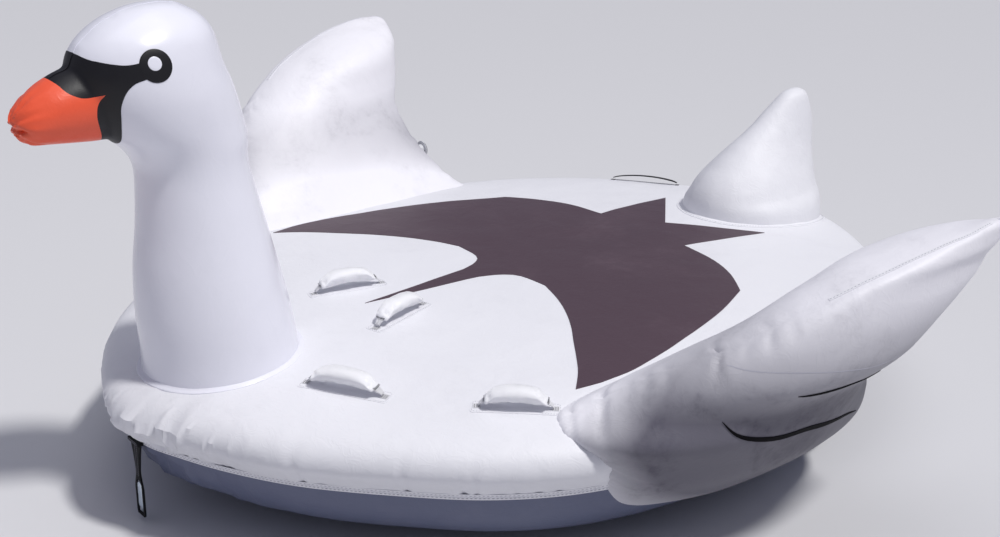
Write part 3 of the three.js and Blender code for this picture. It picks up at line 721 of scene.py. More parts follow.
WING_FOOT, WING_HEIGHT = -0.2, 0.436        # from where the gathers are counted, and over what height
LEAD_RISE = 0.1                             # height over which a wing's forward lead sets in
FRONT, REAR = 0, WING_COLUMNS // 2          # columns on the two sewn edges
# Each edge: its column, the gathers' depth and reach in metres, their seed and their slant.
WING_GATHERS = ((FRONT, 17 * MM, 0.15, 11, -0.9), (REAR, 5 * MM, 0.06, 12, 0.3))


def wing_rings(side, lift, lead):
    """Sections of a wing from its foot to its tip; the front and rear points of each are on the sewn edges."""
    rows = smooth(WING, WING_ROWS)
    turn = np.linspace(0, 2 * math.pi, WING_COLUMNS, endpoint=False)
    turn = turn - 0.28 * np.sin(2 * turn)                   # more points near the sewn edges
    bulge = np.sign(np.sin(turn)) * np.abs(np.sin(turn)) ** 0.85
    rings = []
    for z0, fx, fy, rx, ry, out, inn in rows:
        shift = lead * min(1, max(0, z0 / LEAD_RISE))
        fy, ry, z = fy - shift, ry - shift, z0 * lift if z0 > 0 else z0
        reach = np.array([rx - fx, ry - fy])
        across = np.array([reach[1], -reach[0]]) / np.linalg.norm(reach)
        width = np.where(bulge > 0, out, inn) * bulge
        middle = np.array([(fx + rx) / 2, (fy + ry) / 2])
        plan = middle - np.outer(np.cos(turn), reach / 2) + np.outer(width, across)
        rings.append(spot(side * plan[:, 0], plan[:, 1], z))
    rings = np.array(rings)
    along = np.gradient(rings, axis=0)
    around = np.roll(rings, -1, 1) - np.roll(rings, 1, 1)
    out = unit(np.cross(around, along)) * side
    step = np.linalg.norm(np.roll(rings, -1, 1) - rings, axis=2)
    for edge, depth, reach, seed, slant in WING_GATHERS:
        away = np.full(rings.shape[:2], 1.0)
        for way in (1, -1):
            total = np.zeros(len(rings))
            for k in range(1, WING_COLUMNS // 4):
                total = total + step[:, (edge + way * k - (way == 1)) % WING_COLUMNS]
                away[:, (edge + way * k) % WING_COLUMNS] = total * (2.4 if edge == FRONT and way < 0 else 1)
        away[:, edge] = 0
        line = rings[:, edge]
        run = np.r_[0, np.cumsum(np.linalg.norm(np.diff(line, axis=0), axis=1))]
        place = (rows[:, 0] - WING_FOOT) / WING_HEIGHT
        strong = np.clip(place * 4, 0, 1) * np.clip((0.95 - place) * 3.4, 0.1, 1)
        length = run[-1] * 1.3
        marks = gathers(length, 30, depth, 12 * MM, reach, seed)
        lean = np.where((edge == FRONT) & (np.arange(WING_COLUMNS) > REAR), 0.0, slant)
        pull = gathered(run[:, None], away, marks, length, lean) * (1 - np.exp(-((away / 0.011) ** 1.5)))
        rings = rings - out * (pull * strong[:, None])[:, :, None]
    flat = rings.reshape(-1, 3)
    swell = (grain(flat, 5, 13) * 4 * MM + grain(flat, 14, 14) * 1.1 * MM).reshape(rings.shape[:2])
    return rings + out * swell[:, :, None]


def on_wing(points, side, lift, lead):
    """Places given for the left wing, moved to the wing on that side."""
    p = np.asarray(points, float).copy()
    p[:, 1] -= lead * np.clip(p[:, 2] / LEAD_RISE, 0, 1)
    p[:, 2] = np.where(p[:, 2] > 0, p[:, 2] * lift, p[:, 2])
    return spot(side * p[:, 0], p[:, 1], p[:, 2])


FEATHER_LOW = [(0.706, 0.15, 0.0), (0.715, 0.169, -0.022), (0.723, 0.2, -0.035), (0.725, 0.25, -0.045),
               (0.725, 0.3, -0.05), (0.715, 0.352, -0.06), (0.69, 0.44, -0.081), (0.66, 0.5, -0.1)]
FEATHER_HIGH = [(0.766, 0.239, 0.037), (0.772, 0.28, 0.034), (0.777, 0.32, 0.0335), (0.776, 0.36, 0.033),
                (0.765, 0.42, 0.029)]
PANEL_SEAM = [(0.70, 0.158, 0.088), (0.715, 0.172, 0.079), (0.735, 0.191, 0.077), (0.768, 0.238, 0.076),
              (0.79, 0.298, 0.07), (0.798, 0.38, 0.061), (0.79, 0.46, 0.06), (0.75, 0.54, 0.065)]
SEAM_STARTS = {FRONT: 124, REAR: 66}        # the row at which each edge's tape begins

for label, side, lift, lead in (("left", 1, 1.0, 0.0), ("right", -1, 1.2, 0.045)):
    rings = wing_rings(side, lift, lead)
    wing = loft(f"wing_{label}_cover", rings)
    tree = surface_of(wing)
    fit_out(wing, "hull", "cover_white", WING_CLOTH, f"wing_cover_{label}")
    for edge, tag in ((FRONT, "crest"), (REAR, "rear")):
        line = rings[SEAM_STARTS[edge]:, edge]
        path = smooth(line, len(line) * 2)
        tape = ribbon(f"wing_{label}_{tag}_seam", tree, path, 9 * MM, 1.1 * MM, 2.2 * MM)
        fit_out(tape, "hull", "cover_white", COVER)
        places, ups = rest_on(tree, path, 1.2 * MM)
        stitch_line(f"wing_{label}_{tag}_stitching", places, ups)
        fit_out(sew(f"wing_{label}_{tag}_stitching"), "hull", "cover_white", THREAD)
    for tag, points, width in (("lower", FEATHER_LOW, 15 * MM), ("upper", FEATHER_HIGH, 9 * MM)):
        path = smooth(on_wing(points, side, lift, lead), 70)
        share = np.linspace(0, 1, 70)
        widths = width * np.clip(np.sin(math.pi * share ** 0.8) ** 0.9, 0.04, 1)
        feather = ribbon(f"wing_{label}_{tag}_feather", tree, path, widths, 1.6 * MM, 2.2 * MM)
        fit_out(feather, "hull", "vinyl_black", INK)
    path = smooth(on_wing(PANEL_SEAM, side, lift, lead), 90)
    seam = ribbon(f"wing_{label}_panel_seam", tree, path, 2.0 * MM, 0.4 * MM, 1.5 * MM)
    fit_out(seam, "hull", "cover_white", THREAD)

# ---------------------------------------------------------------- tail fin
# Each row: height, middle in y, half width, half length.
TAIL = [(-0.06, 0.937, 0.132, 0.153), (0, 0.937, 0.123, 0.151), (0.03, 0.94, 0.104, 0.147),
        (0.06, 0.95, 0.088, 0.136), (0.09, 0.969, 0.07, 0.119), (0.12, 0.992, 0.052, 0.1),
        (0.15, 1.013, 0.04, 0.078), (0.18, 1.03, 0.03, 0.054), (0.203, 1.042, 0.020, 0.033),
        (0.211, 1.045, 0.011, 0.018), (0.2138, 1.0455, 0.003, 0.006)]


def upright_rings(table, rows, columns):
    """Oval sections stacked upwards: height, middle in y, half width, half length."""
    turn = np.linspace(0, 2 * math.pi, columns, endpoint=False)
    return np.array([spot(a * np.sin(turn), y - b * np.cos(turn), z) for z, y, a, b in smooth(table, rows)])


rings = upright_rings(TAIL, 70, 96)
out = unit(np.cross(np.roll(rings, -1, 1) - np.roll(rings, 1, 1), np.gradient(rings, axis=0)))
flat = rings.reshape(-1, 3)
foot = np.exp(-np.abs(rings[:, :, 2] - UNIT * DECK - 0.02) / 0.045)
folds = grain(np.broadcast_to(rings[:1], rings.shape).reshape(-1, 3), 24, 21).reshape(foot.shape)
swell = (grain(flat, 9, 22) * 3.2 * MM + grain(flat, 24, 23) * 0.9 * MM).reshape(foot.shape) + foot * folds * 3 * MM
tail = loft("tail_fin_cover", rings + out * swell[:, :, None])
fit_out(tail, "hull", "cover_white", COVER, "tail_cover")


def foot_line(table, count, grow):
    """Where an upright chamber meets the deck, moved outwards by grow metres."""
    turn = np.linspace(0, 2 * math.pi, count, endpoint=False)
    table = np.asarray(table)
    height = np.zeros(count)
    for _ in range(4):
        y, a, b = (np.interp(height, table[:, 0], table[:, k]) for k in (1, 2, 3))
        px, py = (a + grow / UNIT) * np.sin(turn), y - (b + grow / UNIT) * np.cos(turn)
        height = deck_top(px, py) / UNIT - DECK
    return px, py


FOOT_POINTS = 160


def foot_row(table, grow, lift):
    """A closed row of places on the deck round an upright chamber's foot."""
    px, py = foot_line(table, FOOT_POINTS, grow)
    return np.column_stack([px * UNIT, (py - MIDDLE) * UNIT, deck_top(px, py) + lift])


def foot_flange(name, table, width, height, material, slot, *nodes):
    """A thin flange round the foot of an upright chamber, turned up against it and sewn or welded down."""
    section = ((-4 * MM, -2 * MM), (-2 * MM, height), (2 * MM, height * 0.55), (6 * MM, 2.1 * MM),
               (width - 2 * MM, 1.9 * MM), (width, 1.2 * MM), (width, -1.5 * MM))
    rows = [foot_row(table, grow, lift) for grow, lift in section]
    return fit_out(loft(name, rows, ends=(False, False), angle=60), "hull", slot, material, *nodes)


foot_flange("tail_fin_flange", TAIL, 16 * MM, 5 * MM, COVER, "cover_white")
line = foot_row(TAIL, 10 * MM, 2.2 * MM)
stitch_line("tail_fin_flange_stitching", np.vstack([line, line[:1]]), UP)
fit_out(sew("tail_fin_flange_stitching"), "hull", "cover_white", THREAD)

# ---------------------------------------------------------------- neck, head and face
# Each row: height, middle in y, half width, half length.
NECK = [(-0.13, -0.27, 0.128, 0.128), (-0.06, -0.275, 0.127, 0.127), (0, -0.278, 0.125, 0.125),
        (0.07, -0.286, 0.121, 0.121), (0.14, -0.293, 0.112, 0.112), (0.207, -0.297, 0.1, 0.1),
        (0.273, -0.303, 0.09, 0.09), (0.31, -0.307, 0.088, 0.088), (0.34, -0.315, 0.09, 0.098),
        (0.37, -0.334, 0.094, 0.112), (0.4, -0.349, 0.098, 0.12), (0.43, -0.361, 0.1, 0.123),
        (0.46, -0.37, 0.097, 0.12), (0.49, -0.37, 0.09, 0.113), (0.513, -0.365, 0.080, 0.100),
        (0.532, -0.36, 0.062, 0.079), (0.545, -0.357, 0.041, 0.053), (0.552, -0.355, 0.024, 0.031),
        (0.5545, -0.354, 0.008, 0.010)]
# Each row: y, middle height, half width, half height.
BEAK = [(-0.40, 0.425, 0.05, 0.058), (-0.43, 0.4235, 0.0505, 0.06), (-0.47, 0.423, 0.052, 0.058),
        (-0.52, 0.417, 0.048, 0.047), (-0.555, 0.408, 0.038, 0.034), (-0.572, 0.4025, 0.024, 0.022),
        (-0.5775, 0.401, 0.01, 0.01)]

head = loft("neck_and_head_skin", upright_rings(NECK, 90, 96))
turn = np.linspace(0, 2 * math.pi, 72, endpoint=False)
rings = np.array([spot(a * np.cos(turn), y, z + b * np.sin(turn)) for y, z, a, b in smooth(BEAK, 48)])
beak_core = loft("beak_core", rings)
modify(head, "BOOLEAN", object=beak_core, operation="UNION", solver="EXACT")
drop(beak_core)
modify(head, "REMESH", mode="VOXEL", voxel_size=5 * MM)
modify(head, "SMOOTH", factor=0.5, iterations=8)
settle(head, 70)


# Small gathers along the welded line down the middle of the head and neck, stronger on the crown.
places = places_of(head)
near = np.exp(-((np.abs(places[:, 0]) / 0.022) ** 1.5))
crown_share = np.clip((places[:, 2] - 0.86) / 0.1, 0.25, 1)
amount = near * grain(places * [0.15, 1, 1], 42, 31) * (2.2 * MM) * crown_share
put(head, places + ways_of(head) * amount[:, None])

# The beak's wrinkled tip, its mouth line and its receding lower half, in millimetres from the tip.
places, ways = places_of(head), ways_of(head)
span = (places - spot(0, -0.5775, 0.4015)) / MM
turn = np.arctan2(span[:, 2], span[:, 0])
far = np.exp(-((np.abs(span[:, 1]) / 46) ** 2))
lips = far * (2.0 * np.sin(9 * turn + 4 * grain(places, 20, 33)) + 1.2 * np.sin(17 * turn + 1))
lips = lips * np.clip(np.hypot(span[:, 0], span[:, 2]) / 12, 0, 1)
mouth = 7.5 * np.exp(-((span[:, 2] + 3) / 4.5) ** 2) * np.exp(-((np.abs(span[:, 1]) / 17) ** 2))
lower = 9 * np.clip(-(span[:, 2] + 6) / 20, 0, 1) * np.exp(-((np.abs(span[:, 1]) / 34) ** 2))
put(head, places + ways * ((lips - mouth) * MM)[:, None] + np.outer(lower * MM, [0, 1, 0]))


FACE_BOTTOM = 0.30          # height below which no face panel reaches
PANEL_WALL = 1.2 * MM       # how far a face panel's back lies under the head's surface


def face_panel(name, side_outline, lift, back):
    """A welded vinyl panel: the head's surface raised by lift, cut to an outline seen from the side."""
    object_mode()
    panel = head.copy()
    panel.data = head.data.copy()
    panel.name = panel.data.name = name
    bpy.context.scene.collection.objects.link(panel)
    bpy.context.view_layer.objects.active = panel
    panel.select_set(True)
    bpy.ops.object.mode_set(mode="EDIT")
    for away in ((0, -1, 0), (0, 0, 1)):
        bpy.ops.mesh.select_all(action="SELECT")
        bpy.ops.mesh.bisect(plane_co=spot(0, back, FACE_BOTTOM), plane_no=away, clear_inner=True, use_fill=True)
    bpy.ops.object.mode_set(mode="OBJECT")
    inside = panel.copy()
    inside.data = panel.data.copy()
    bpy.context.scene.collection.objects.link(inside)
    modify(panel, "DISPLACE", strength=lift, mid_level=0)
    modify(inside, "DISPLACE", strength=-PANEL_WALL, mid_level=0)
    outline = np.asarray(side_outline, float)
    bpy.ops.mesh.primitive_circle_add(vertices=len(outline), radius=1, fill_type="NGON")
    cutter = named(name + "_cutter")
    for vert, (y, z) in zip(cutter.data.vertices, outline):
        vert.co = spot(0, y, z)
    modify(cutter, "SOLIDIFY", thickness=0.6, offset=0)
    settle(cutter)
    modify(panel, "BOOLEAN", object=cutter, operation="INTERSECT", solver="EXACT")
    modify(panel, "BOOLEAN", object=inside, operation="DIFFERENCE", solver="EXACT")
    drop(cutter, inside)
    return settle(panel, 35)


# Outlines seen from the side, as y and height.
BEAK_LINE = [(-0.548, 0.49), (-0.518, 0.462), (-0.512, 0.454), (-0.506, 0.448), (-0.498, 0.4435),
             (-0.49, 0.4405), (-0.48, 0.4395), (-0.47, 0.4405), (-0.461, 0.4435)]
BEAK_CHEEK = [(-0.461, 0.4435), (-0.4665, 0.434), (-0.4705, 0.424), (-0.4715, 0.414), (-0.4705, 0.405),
              (-0.465, 0.389), (-0.455, 0.366), (-0.447, 0.34)]
MASK_TOP = [(-0.50, 0.515), (-0.476, 0.494), (-0.462, 0.4895), (-0.447, 0.4865), (-0.432, 0.485),
            (-0.415, 0.487), (-0.398, 0.492)]
MASK_BACK = [(-0.392, 0.474), (-0.407, 0.465), (-0.424, 0.4595), (-0.434, 0.451), (-0.440, 0.440),
             (-0.4435, 0.424), (-0.4415, 0.404), (-0.4375, 0.383), (-0.43, 0.355), (-0.425, 0.335)]
beak_edge = np.vstack([smooth(BEAK_LINE, 26), smooth(BEAK_CHEEK, 26)[1:]])
mask_outline = np.vstack([smooth(MASK_TOP, 26), smooth(MASK_BACK, 34), beak_edge[::-1]])
beak_outline = np.vstack([beak_edge, [(-0.60, 0.34), (-0.62, 0.42), (-0.60, 0.49)]])
fit_out(face_panel("face_mask_panel", mask_outline, 0.8 * MM, -0.38), "hull", "vinyl_black", BLACK, "face_mask")
fit_out(face_panel("beak_panel", beak_outline, 1.0 * MM, -0.43), "hull", "vinyl_orange", ORANGE, "beak")
head_tree = surface_of(head)
fit_out(head, "hull", "vinyl_white", VINYL, "neck_and_head")


DISC_SECTION = ((0.05, 1), (0.35, 1), (0.7, 1), (0.93, 0.95), (0.99, 0.75), (1.0, -0.5))
BESIDE_HEAD = 0.3           # a distance in x that is clear of the head


def head_disc(name, side, centre, radius, lift, material, slot, node):
    """A round panel on the side of the head, with a soft edge."""
    turn = np.linspace(0, 2 * math.pi, 48, endpoint=False)
    rings = []
    for share, raised in DISC_SECTION:
        plan = spot(BESIDE_HEAD * side, centre[0] + radius * share * np.cos(turn),
                    centre[1] + radius * share * np.sin(turn))
        row = []
        for p in plan:
            place, way, _, _ = head_tree.ray_cast(Vector(p), Vector((-side, 0, 0)))
            row.append(place + way * lift * raised)
        rings.append(row)
    return fit_out(loft(name, rings, ends=(True, False)), "hull", slot, material, node)


for label, side in (("left", 1), ("right", -1)):
    head_disc(f"eye_{label}_disc", side, (-0.393, 0.481), 0.0235, 1.5 * MM, BLACK, "vinyl_black", f"eye_{label}")
    head_disc(f"eye_{label}_white", side, (-0.3945, 0.4845), 0.0098, 2.0 * MM, VINYL, "vinyl_white",
              f"eye_glint_{label}")

# The welded line runs from the beak over the crown and down the back of the neck.
crown = [(-0.50, 0.482), (-0.478, 0.4965), (-0.45, 0.512), (-0.42, 0.53), (-0.38, 0.546), (-0.34, 0.547),
         (-0.30, 0.53), (-0.265, 0.5), (-0.245, 0.46), (-0.235, 0.42), (-0.225, 0.37), (-0.217, 0.3),
         (-0.20, 0.22), (-0.178, 0.12), (-0.162, 0.04), (-0.156, 0.0)]
path = smooth(np.array([spot(0, y, z) for y, z in crown]), 240)
dark = int(len(path) * 0.035)               # the first rows lie under the mask's own weld
fit_out(ribbon("crown_weld", head_tree, path[dark:], 7 * MM, 0.9 * MM, 1.8 * MM), "hull", "vinyl_white", VINYL)
front = smooth(np.array([spot(0, y, z) for y, z in ((-0.518, 0.4645), (-0.50, 0.478), (-0.478, 0.4925))]), 30)
fit_out(ribbon("mask_weld", head_tree, front, 15 * MM, 2.0 * MM, 2.6 * MM), "hull", "vinyl_black", BLACK)
foot_flange("neck_flange", NECK, 12 * MM, 7 * MM, VINYL, "vinyl_white", "neck_collar")

# ---------------------------------------------------------------- deck panel
SPEAR_CURVE = [(0.023, 0.225), (0.038, 0.262), (0.066, 0.286), (0.128, 0.292)]
ARC = [(0.128, 0.292), (0.185, 0.272), (0.238, 0.247), (0.29, 0.216), (0.336, 0.183), (0.38, 0.152),
       (0.42, 0.122), (0.46, 0.084)]
WING_EDGE = [(0.466, 0.13), (0.464, 0.19), (0.447, 0.27), (0.42, 0.365), (0.385, 0.465), (0.338, 0.562)]
STERN_EDGE = [(0.338, 0.562), (0.27, 0.604), (0.2, 0.627), (0.119, 0.635)]
shape = ([(0, 0.0), SPEAR_CURVE[0]] + smooth(SPEAR_CURVE, 10)[1:].tolist() + smooth(ARC, 30)[1:].tolist()
         + smooth(WING_EDGE, 26).tolist() + smooth(STERN_EDGE, 14)[1:].tolist() + [(0.14, 0.83), (0, 0.698)])
shape = mirrored([tuple(p) for p in shape])
panel = slab("deck_print_panel", [(x * UNIT, (y - MIDDLE) * UNIT) for x, y in shape], 14 * MM, 2 * MM)


def lay_on_deck(piece, lift, thickness=2 * MM):
    """Lays a flat plate on the deck: its upper face lies lift above the cover, its lower face just under it."""
    places = places_of(piece)
    height = deck_top(places[:, 0] / UNIT, places[:, 1] / UNIT + MIDDLE)
    places[:, 2] = height + np.where(places[:, 2] > 0, lift, lift - thickness)
    put(piece, places)
    return settle(piece)


fit_out(lay_on_deck(panel, 1.3 * MM, 2.5 * MM), "hull", "deck_panel", PANEL, "deck_panel")

# ---------------------------------------------------------------- handles
HANDLES = {
    "inner": ((0.097, -0.038), (0.065, 0.072)),
    "middle": ((0.188, -0.225), (0.298, -0.162)),
    "outer": ((0.412, -0.064), (0.484, 0.02)),
}
RISE, LIFT = 25 * MM, 8 * MM
MASTER = 0.16                # length of the handle that the others are stretched from


def arch(t, rise):
    """Height of a strap above the deck at a share t of its length."""
    return LIFT + rise * np.sin(math.pi * np.clip(t, 0, 1)) ** 0.62


def arched(section, t, rise=RISE):
    """A section set square across an arch that runs along x and rises along z."""
    d = 0.004
    way = unit(np.array([2 * d * MASTER, 0, arch(t + d, rise) - arch(t - d, rise)]))
    up = np.array([-way[2], 0, way[0]])
    centre = np.array([(t - 0.5) * MASTER, 0, arch(t, rise)])
    return centre + np.outer(section[:, 0], [0, 1, 0]) + np.outer(section[:, 1], up)


def rounded(wide, thick, count, square):
    """An oval of half sizes wide and thick; the smaller square is, the nearer it comes to a rectangle."""
    turn = np.linspace(0, 2 * math.pi, count, endpoint=False)
    c, s = np.cos(turn), np.sin(turn)
    return np.column_stack([wide * np.sign(c) * np.abs(c) ** square, thick * np.sign(s) * np.abs(s) ** square])


SLEEVE_START, SLEEVE_SHARE = 0.075, 0.85     # where on the strap the sleeve starts, and how much it covers


def sleeve_rings(shrink):
    """Sections of the padded sleeve, thin where it is sewn down and slightly smaller by shrink in between."""
    rings = []
    for t in np.linspace(SLEEVE_START, 1 - SLEEVE_START, 46):
        k = max(0.0, math.sin(math.pi * (t - SLEEVE_START) / SLEEVE_SHARE)) ** 0.45
        wide, thick = 15 * MM + 8 * MM * k, 3.6 * MM + 15.6 * MM * k
        rings.append(arched(rounded(wide - shrink * k, thick - shrink * k, 36, 0.9), t))
    return rings


CLOTH_STEPS = 20


def inflate(piece, pressure, cap, held):
    """Swells a sewn tube of cloth with the cloth solver. Its sewn ends are held, and no point moves past cap."""
    object_mode()
    before = places_of(piece)
    pins = piece.vertex_groups.new(name="sewn")
    pins.add([i for i, p in enumerate(before) if held(p)], 1.0, "REPLACE")
    cloth = piece.modifiers.new("Cloth", "CLOTH")
    cloth.settings.quality = 6
    cloth.settings.mass = 0.25
    cloth.settings.tension_stiffness = cloth.settings.compression_stiffness = 18
    cloth.settings.bending_stiffness = 0.4
    cloth.settings.use_pressure = True
    cloth.settings.uniform_pressure_force = pressure
    cloth.settings.shrink_min = -0.05
    cloth.settings.vertex_group_mass = "sewn"
    cloth.settings.effector_weights.gravity = 0
    cloth.collision_settings.use_collision = False
    scene = bpy.context.scene
    for step in range(1, CLOTH_STEPS + 1):
        scene.frame_set(step)
    bpy.context.view_layer.objects.active = piece
    bpy.ops.object.modifier_apply(modifier="Cloth")
    move = places_of(piece) - before
    size = np.linalg.norm(move, axis=1, keepdims=True)
    put(piece, before + move * np.minimum(1, cap / np.maximum(size, 1e-9)))
    scene.frame_set(1)


sleeve = loft("sleeve_master", sleeve_rings(1.2 * MM))
inflate(sleeve, 3.0, 4 * MM, lambda p: abs(p[0]) > 0.41 * MASTER)
places = places_of(sleeve)
from_middle = np.abs(places[:, 0]) / MASTER
pinch = np.clip((from_middle - 0.22) / 0.2, 0, 1)           # gathers set in towards the sewn ends
calm = 1 - np.clip((from_middle - 0.4) / 0.03, 0, 1) * 0.6  # and are flattened under the stitches
wave = np.sin(places[:, 1] / (4.3 * MM) + 3 * grain(places * [0.2, 1, 1], 60, 41))
dents = grain(places, 38, 42) * 1.8 * MM
put(sleeve, places + ways_of(sleeve) * (wave * 1.3 * MM * pinch * calm + dents)[:, None])
modify(sleeve, "SUBSURF", levels=1, render_levels=1)
settle(sleeve, 70)



def webbing_master(name, rows, points, widening, thick, rise):
    """A flat webbing along the arch, drawn in where its ends are sewn down."""
    rings = []
    for t in np.linspace(-0.01, 1.01, rows):
        width = 6.5 * MM + widening * min(1, min(abs(t), abs(1 - t)) / 0.1)
        rings.append(arched(rounded(width, thick, points, 0.35), t, rise))
    return loft(name, rings, angle=50)


webbing = webbing_master("webbing_master", 60, 16, 5.5 * MM, 1.3 * MM, RISE)

TACK_STITCH = (1.9 * MM, 0.7 * MM, 0.8 * MM)
for t in (0.088, 0.912):
    for across in (-0.9, -0.3, 0.3, 0.9):
        places = [(w * 13.0 * MM, 4.4 * MM) for w in np.linspace(-1, 1, 12)]
        row = [arched(np.array([place]), t + across * 0.02)[0] for place in places]
        stitch_line("tack_master", row, UP, 3.6 * MM, TACK_STITCH)
tacks = sew("tack_master")


def deck_frame(a, b, half=0.01):
    """Middle, length and the three directions of a strap sewn to the deck between two places."""
    start, end = (np.array([UNIT * x, UNIT * (y - MIDDLE), float(deck_top(x, y))]) for x, y in (a, b))
    x, y = (a[0] + b[0]) / 2, (a[1] + b[1]) / 2

    def slope(dx, dy):
        return float((deck_top(x + dx, y + dy) - deck_top(x - dx, y - dy)) / (2 * half * UNIT))

    e = unit(end - start)
    w = unit(np.cross(unit(np.array([-slope(half, 0), -slope(0, half), 1.0])), e))
    return (start + end) / 2, float(np.linalg.norm(end - start)), e, w, unit(np.cross(e, w))


def copy_to(master, name, place, stretch):
    """A copy with its own mesh, stretched along its length and set down on its place on the deck."""
    middle, _, e, w, n = place
    piece = master.copy()
    piece.data = master.data.copy()
    piece.name = piece.data.name = name
    bpy.context.scene.collection.objects.link(piece)
    columns = np.column_stack([e * stretch, w, n, middle])
    piece.data.transform(Matrix([[*row] for row in columns] + [[0, 0, 0, 1]]))
    return piece


PATCH_CORNER, PATCH_HEM = 8 * MM, 4 * MM
PATCH_STITCH = (2.1 * MM, 0.6 * MM, 0.5 * MM)
FOOT_STITCH = (1.7 * MM, 0.6 * MM, 0.6 * MM)


def sewn_patch(name, place, length, half, feet, foot_wide, foot_material, node):
    """A cloth patch welded to the deck under a strap, with the strap's two sewn feet and its rows of stitches."""
    middle, _, e, w, _ = place

    def plan(u, v):
        return middle[:2] + e[:2] / np.linalg.norm(e[:2]) * u + w[:2] / np.linalg.norm(w[:2]) * v

    path = []
    for quarter, (sx, sy) in enumerate(((1, 1), (-1, 1), (-1, -1), (1, -1))):
        for q in np.linspace(0, math.pi / 2, 6):
            turn = q + quarter * math.pi / 2
            path.append((sx * (length - PATCH_CORNER) + PATCH_CORNER * math.cos(turn),
                         sy * (half - PATCH_CORNER) + PATCH_CORNER * math.sin(turn)))
    patch = lay_on_deck(slab(name, [plan(u, v) for u, v in path], 10 * MM, 2 * MM), 1.0 * MM)
    fit_out(patch, "hull", "webbing_white", COVER, node)

    def rise(points, lift):
        points = np.array(points)
        return np.column_stack([points, deck_top(points[:, 0] / UNIT, points[:, 1] / UNIT + MIDDLE) + lift])

    along, across = 1 - PATCH_HEM / length, 1 - PATCH_HEM / half
    line = rise([plan(u * along, v * across) for u, v in path + path[:1]], 1.2 * MM)
    stitch_line("patch_stitching", line, UP, 6 * MM, PATCH_STITCH)
    for end, tag in ((1, "b"), (-1, "a")):
        near, far = end * feet[0], end * feet[1]
        corners = ((near, -foot_wide), (far, -foot_wide), (far, foot_wide), (near, foot_wide))
        shape = [plan(u, v) for u, v in corners]
        shape = np.vstack([np.linspace(shape[i], shape[(i + 1) % 4], 5, endpoint=False) for i in range(4)])
        foot = slab(f"{name}_foot_{tag}", shape[::end], 6 * MM, 2 * MM)
        fit_out(lay_on_deck(foot, 2.2 * MM, 2.4 * MM), "hull", "webbing_white", foot_material)
        for share in (0.18, 0.5, 0.82):
            u = near + (far - near) * share
            row = rise([plan(u, v) for v in np.linspace(-foot_wide * 0.85, foot_wide * 0.85, 8)], 2.3 * MM)
            stitch_line("foot_stitching", row, UP, 3.4 * MM, FOOT_STITCH)


for row, (a, b) in HANDLES.items():
    for label, side in (("left", 1), ("right", -1)):
        name = f"handle_{row}_{label}"
        place = deck_frame((side * a[0], a[1]), (side * b[0], b[1]))
        stretch = place[1] / MASTER
        pad = copy_to(sleeve, f"{name}_pad", place, stretch)
        fit_out(pad, name, "handle_padding", PADDING, f"{name}_sleeve")
        strap = copy_to(webbing, f"{name}_strap", place, stretch)
        fit_out(strap, name, "webbing_white", WHITE_WEB, f"{name}_webbing")
        fit_out(copy_to(tacks, f"{name}_tacks", place, stretch), name, "webbing_black", DARK_THREAD)
        reach = place[1] / 2
        sewn_patch(f"{name}_base", place, reach + 19 * MM, 23 * MM, (reach - 2 * MM, reach + 13 * MM), 8.5 * MM,
                   WHITE_WEB, f"{name}_patch")
drop(sleeve, webbing, tacks)

# ---------------------------------------------------------------- boarding strap
place = deck_frame((-0.34, 0.865), (-0.23, 0.945))
master = webbing_master("boarding_master", 70, 18, 6.5 * MM, 1.4 * MM, 12 * MM)
strap = copy_to(master, "boarding_strap_band", place, place[1] / MASTER)
drop(master)
fit_out(strap, "boarding_strap", "webbing_black", BLACK_WEB, "boarding_strap")
reach = place[1] / 2
sewn_patch("boarding_strap_base", place, reach + 13 * MM, 17 * MM, (reach - 2 * MM, reach + 9 * MM), 9.5 * MM,
           BLACK_WEB, "boarding_strap_patch")
fit_out(sew("patch_stitching"), "hull", "webbing_white", THREAD)
fit_out(sew("foot_stitching"), "hull", "webbing_black", DARK_THREAD)

# ---------------------------------------------------------------- tow point
strap_low, strap_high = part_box("tow_strap")
tow_y = (strap_low.y + strap_high.y) / 2
# Right halves of the strap's outline and of its eye, as x and z in millimetres.
TOW_EDGE = [(23, 192), (15.5, 165), (9.2, 131), (8.5, 124), (9.2, 116), (12.5, 103), (17, 90), (18.5, 82),
            (18.5, 30), (18, 21), (15.5, 14.2)]
TOW_HOLE = [(13.5, 19.8), (13.5, 84), (12, 94), (7.5, 101.5), (0, 104)]


EDGE_RADIUS = 0.6 * MM
TOW_THICK = 4.6 * MM


def strap_plate(name, edge, hole, thick, y):
    """A flat strap with an eye in it, from filled curves that are given a thickness and a soft edge."""
    data = bpy.data.curves.new(name, "CURVE")
    data.dimensions = "2D"
    data.fill_mode = "BOTH"
    data.extrude = thick / 2 - EDGE_RADIUS
    data.bevel_depth = EDGE_RADIUS
    data.bevel_resolution = 2
    for points in (edge + [(-x, z) for x, z in reversed(edge)], hole + [(-x, z) for x, z in reversed(hole[:-1])]):
        spline = data.splines.new("POLY")
        spline.points.add(len(points) - 1)
        for point, (x, z) in zip(spline.points, points):
            point.co = (x * MM, z * MM, 0, 1)
        spline.use_cyclic_u = True
    object_mode()
    piece = bpy.data.objects.new(name, data)
    bpy.context.scene.collection.objects.link(piece)
    piece.rotation_euler = (math.pi / 2, 0, 0)
    piece.location = (0, y, 0)
    bpy.context.view_layer.objects.active = piece
    piece.select_set(True)
    bpy.ops.object.convert(target="MESH")
    bpy.ops.object.mode_set(mode="EDIT")
    bpy.ops.mesh.select_all(action="SELECT")
    bpy.ops.mesh.remove_doubles(threshold=1e-6)
    return settle(piece, 50)


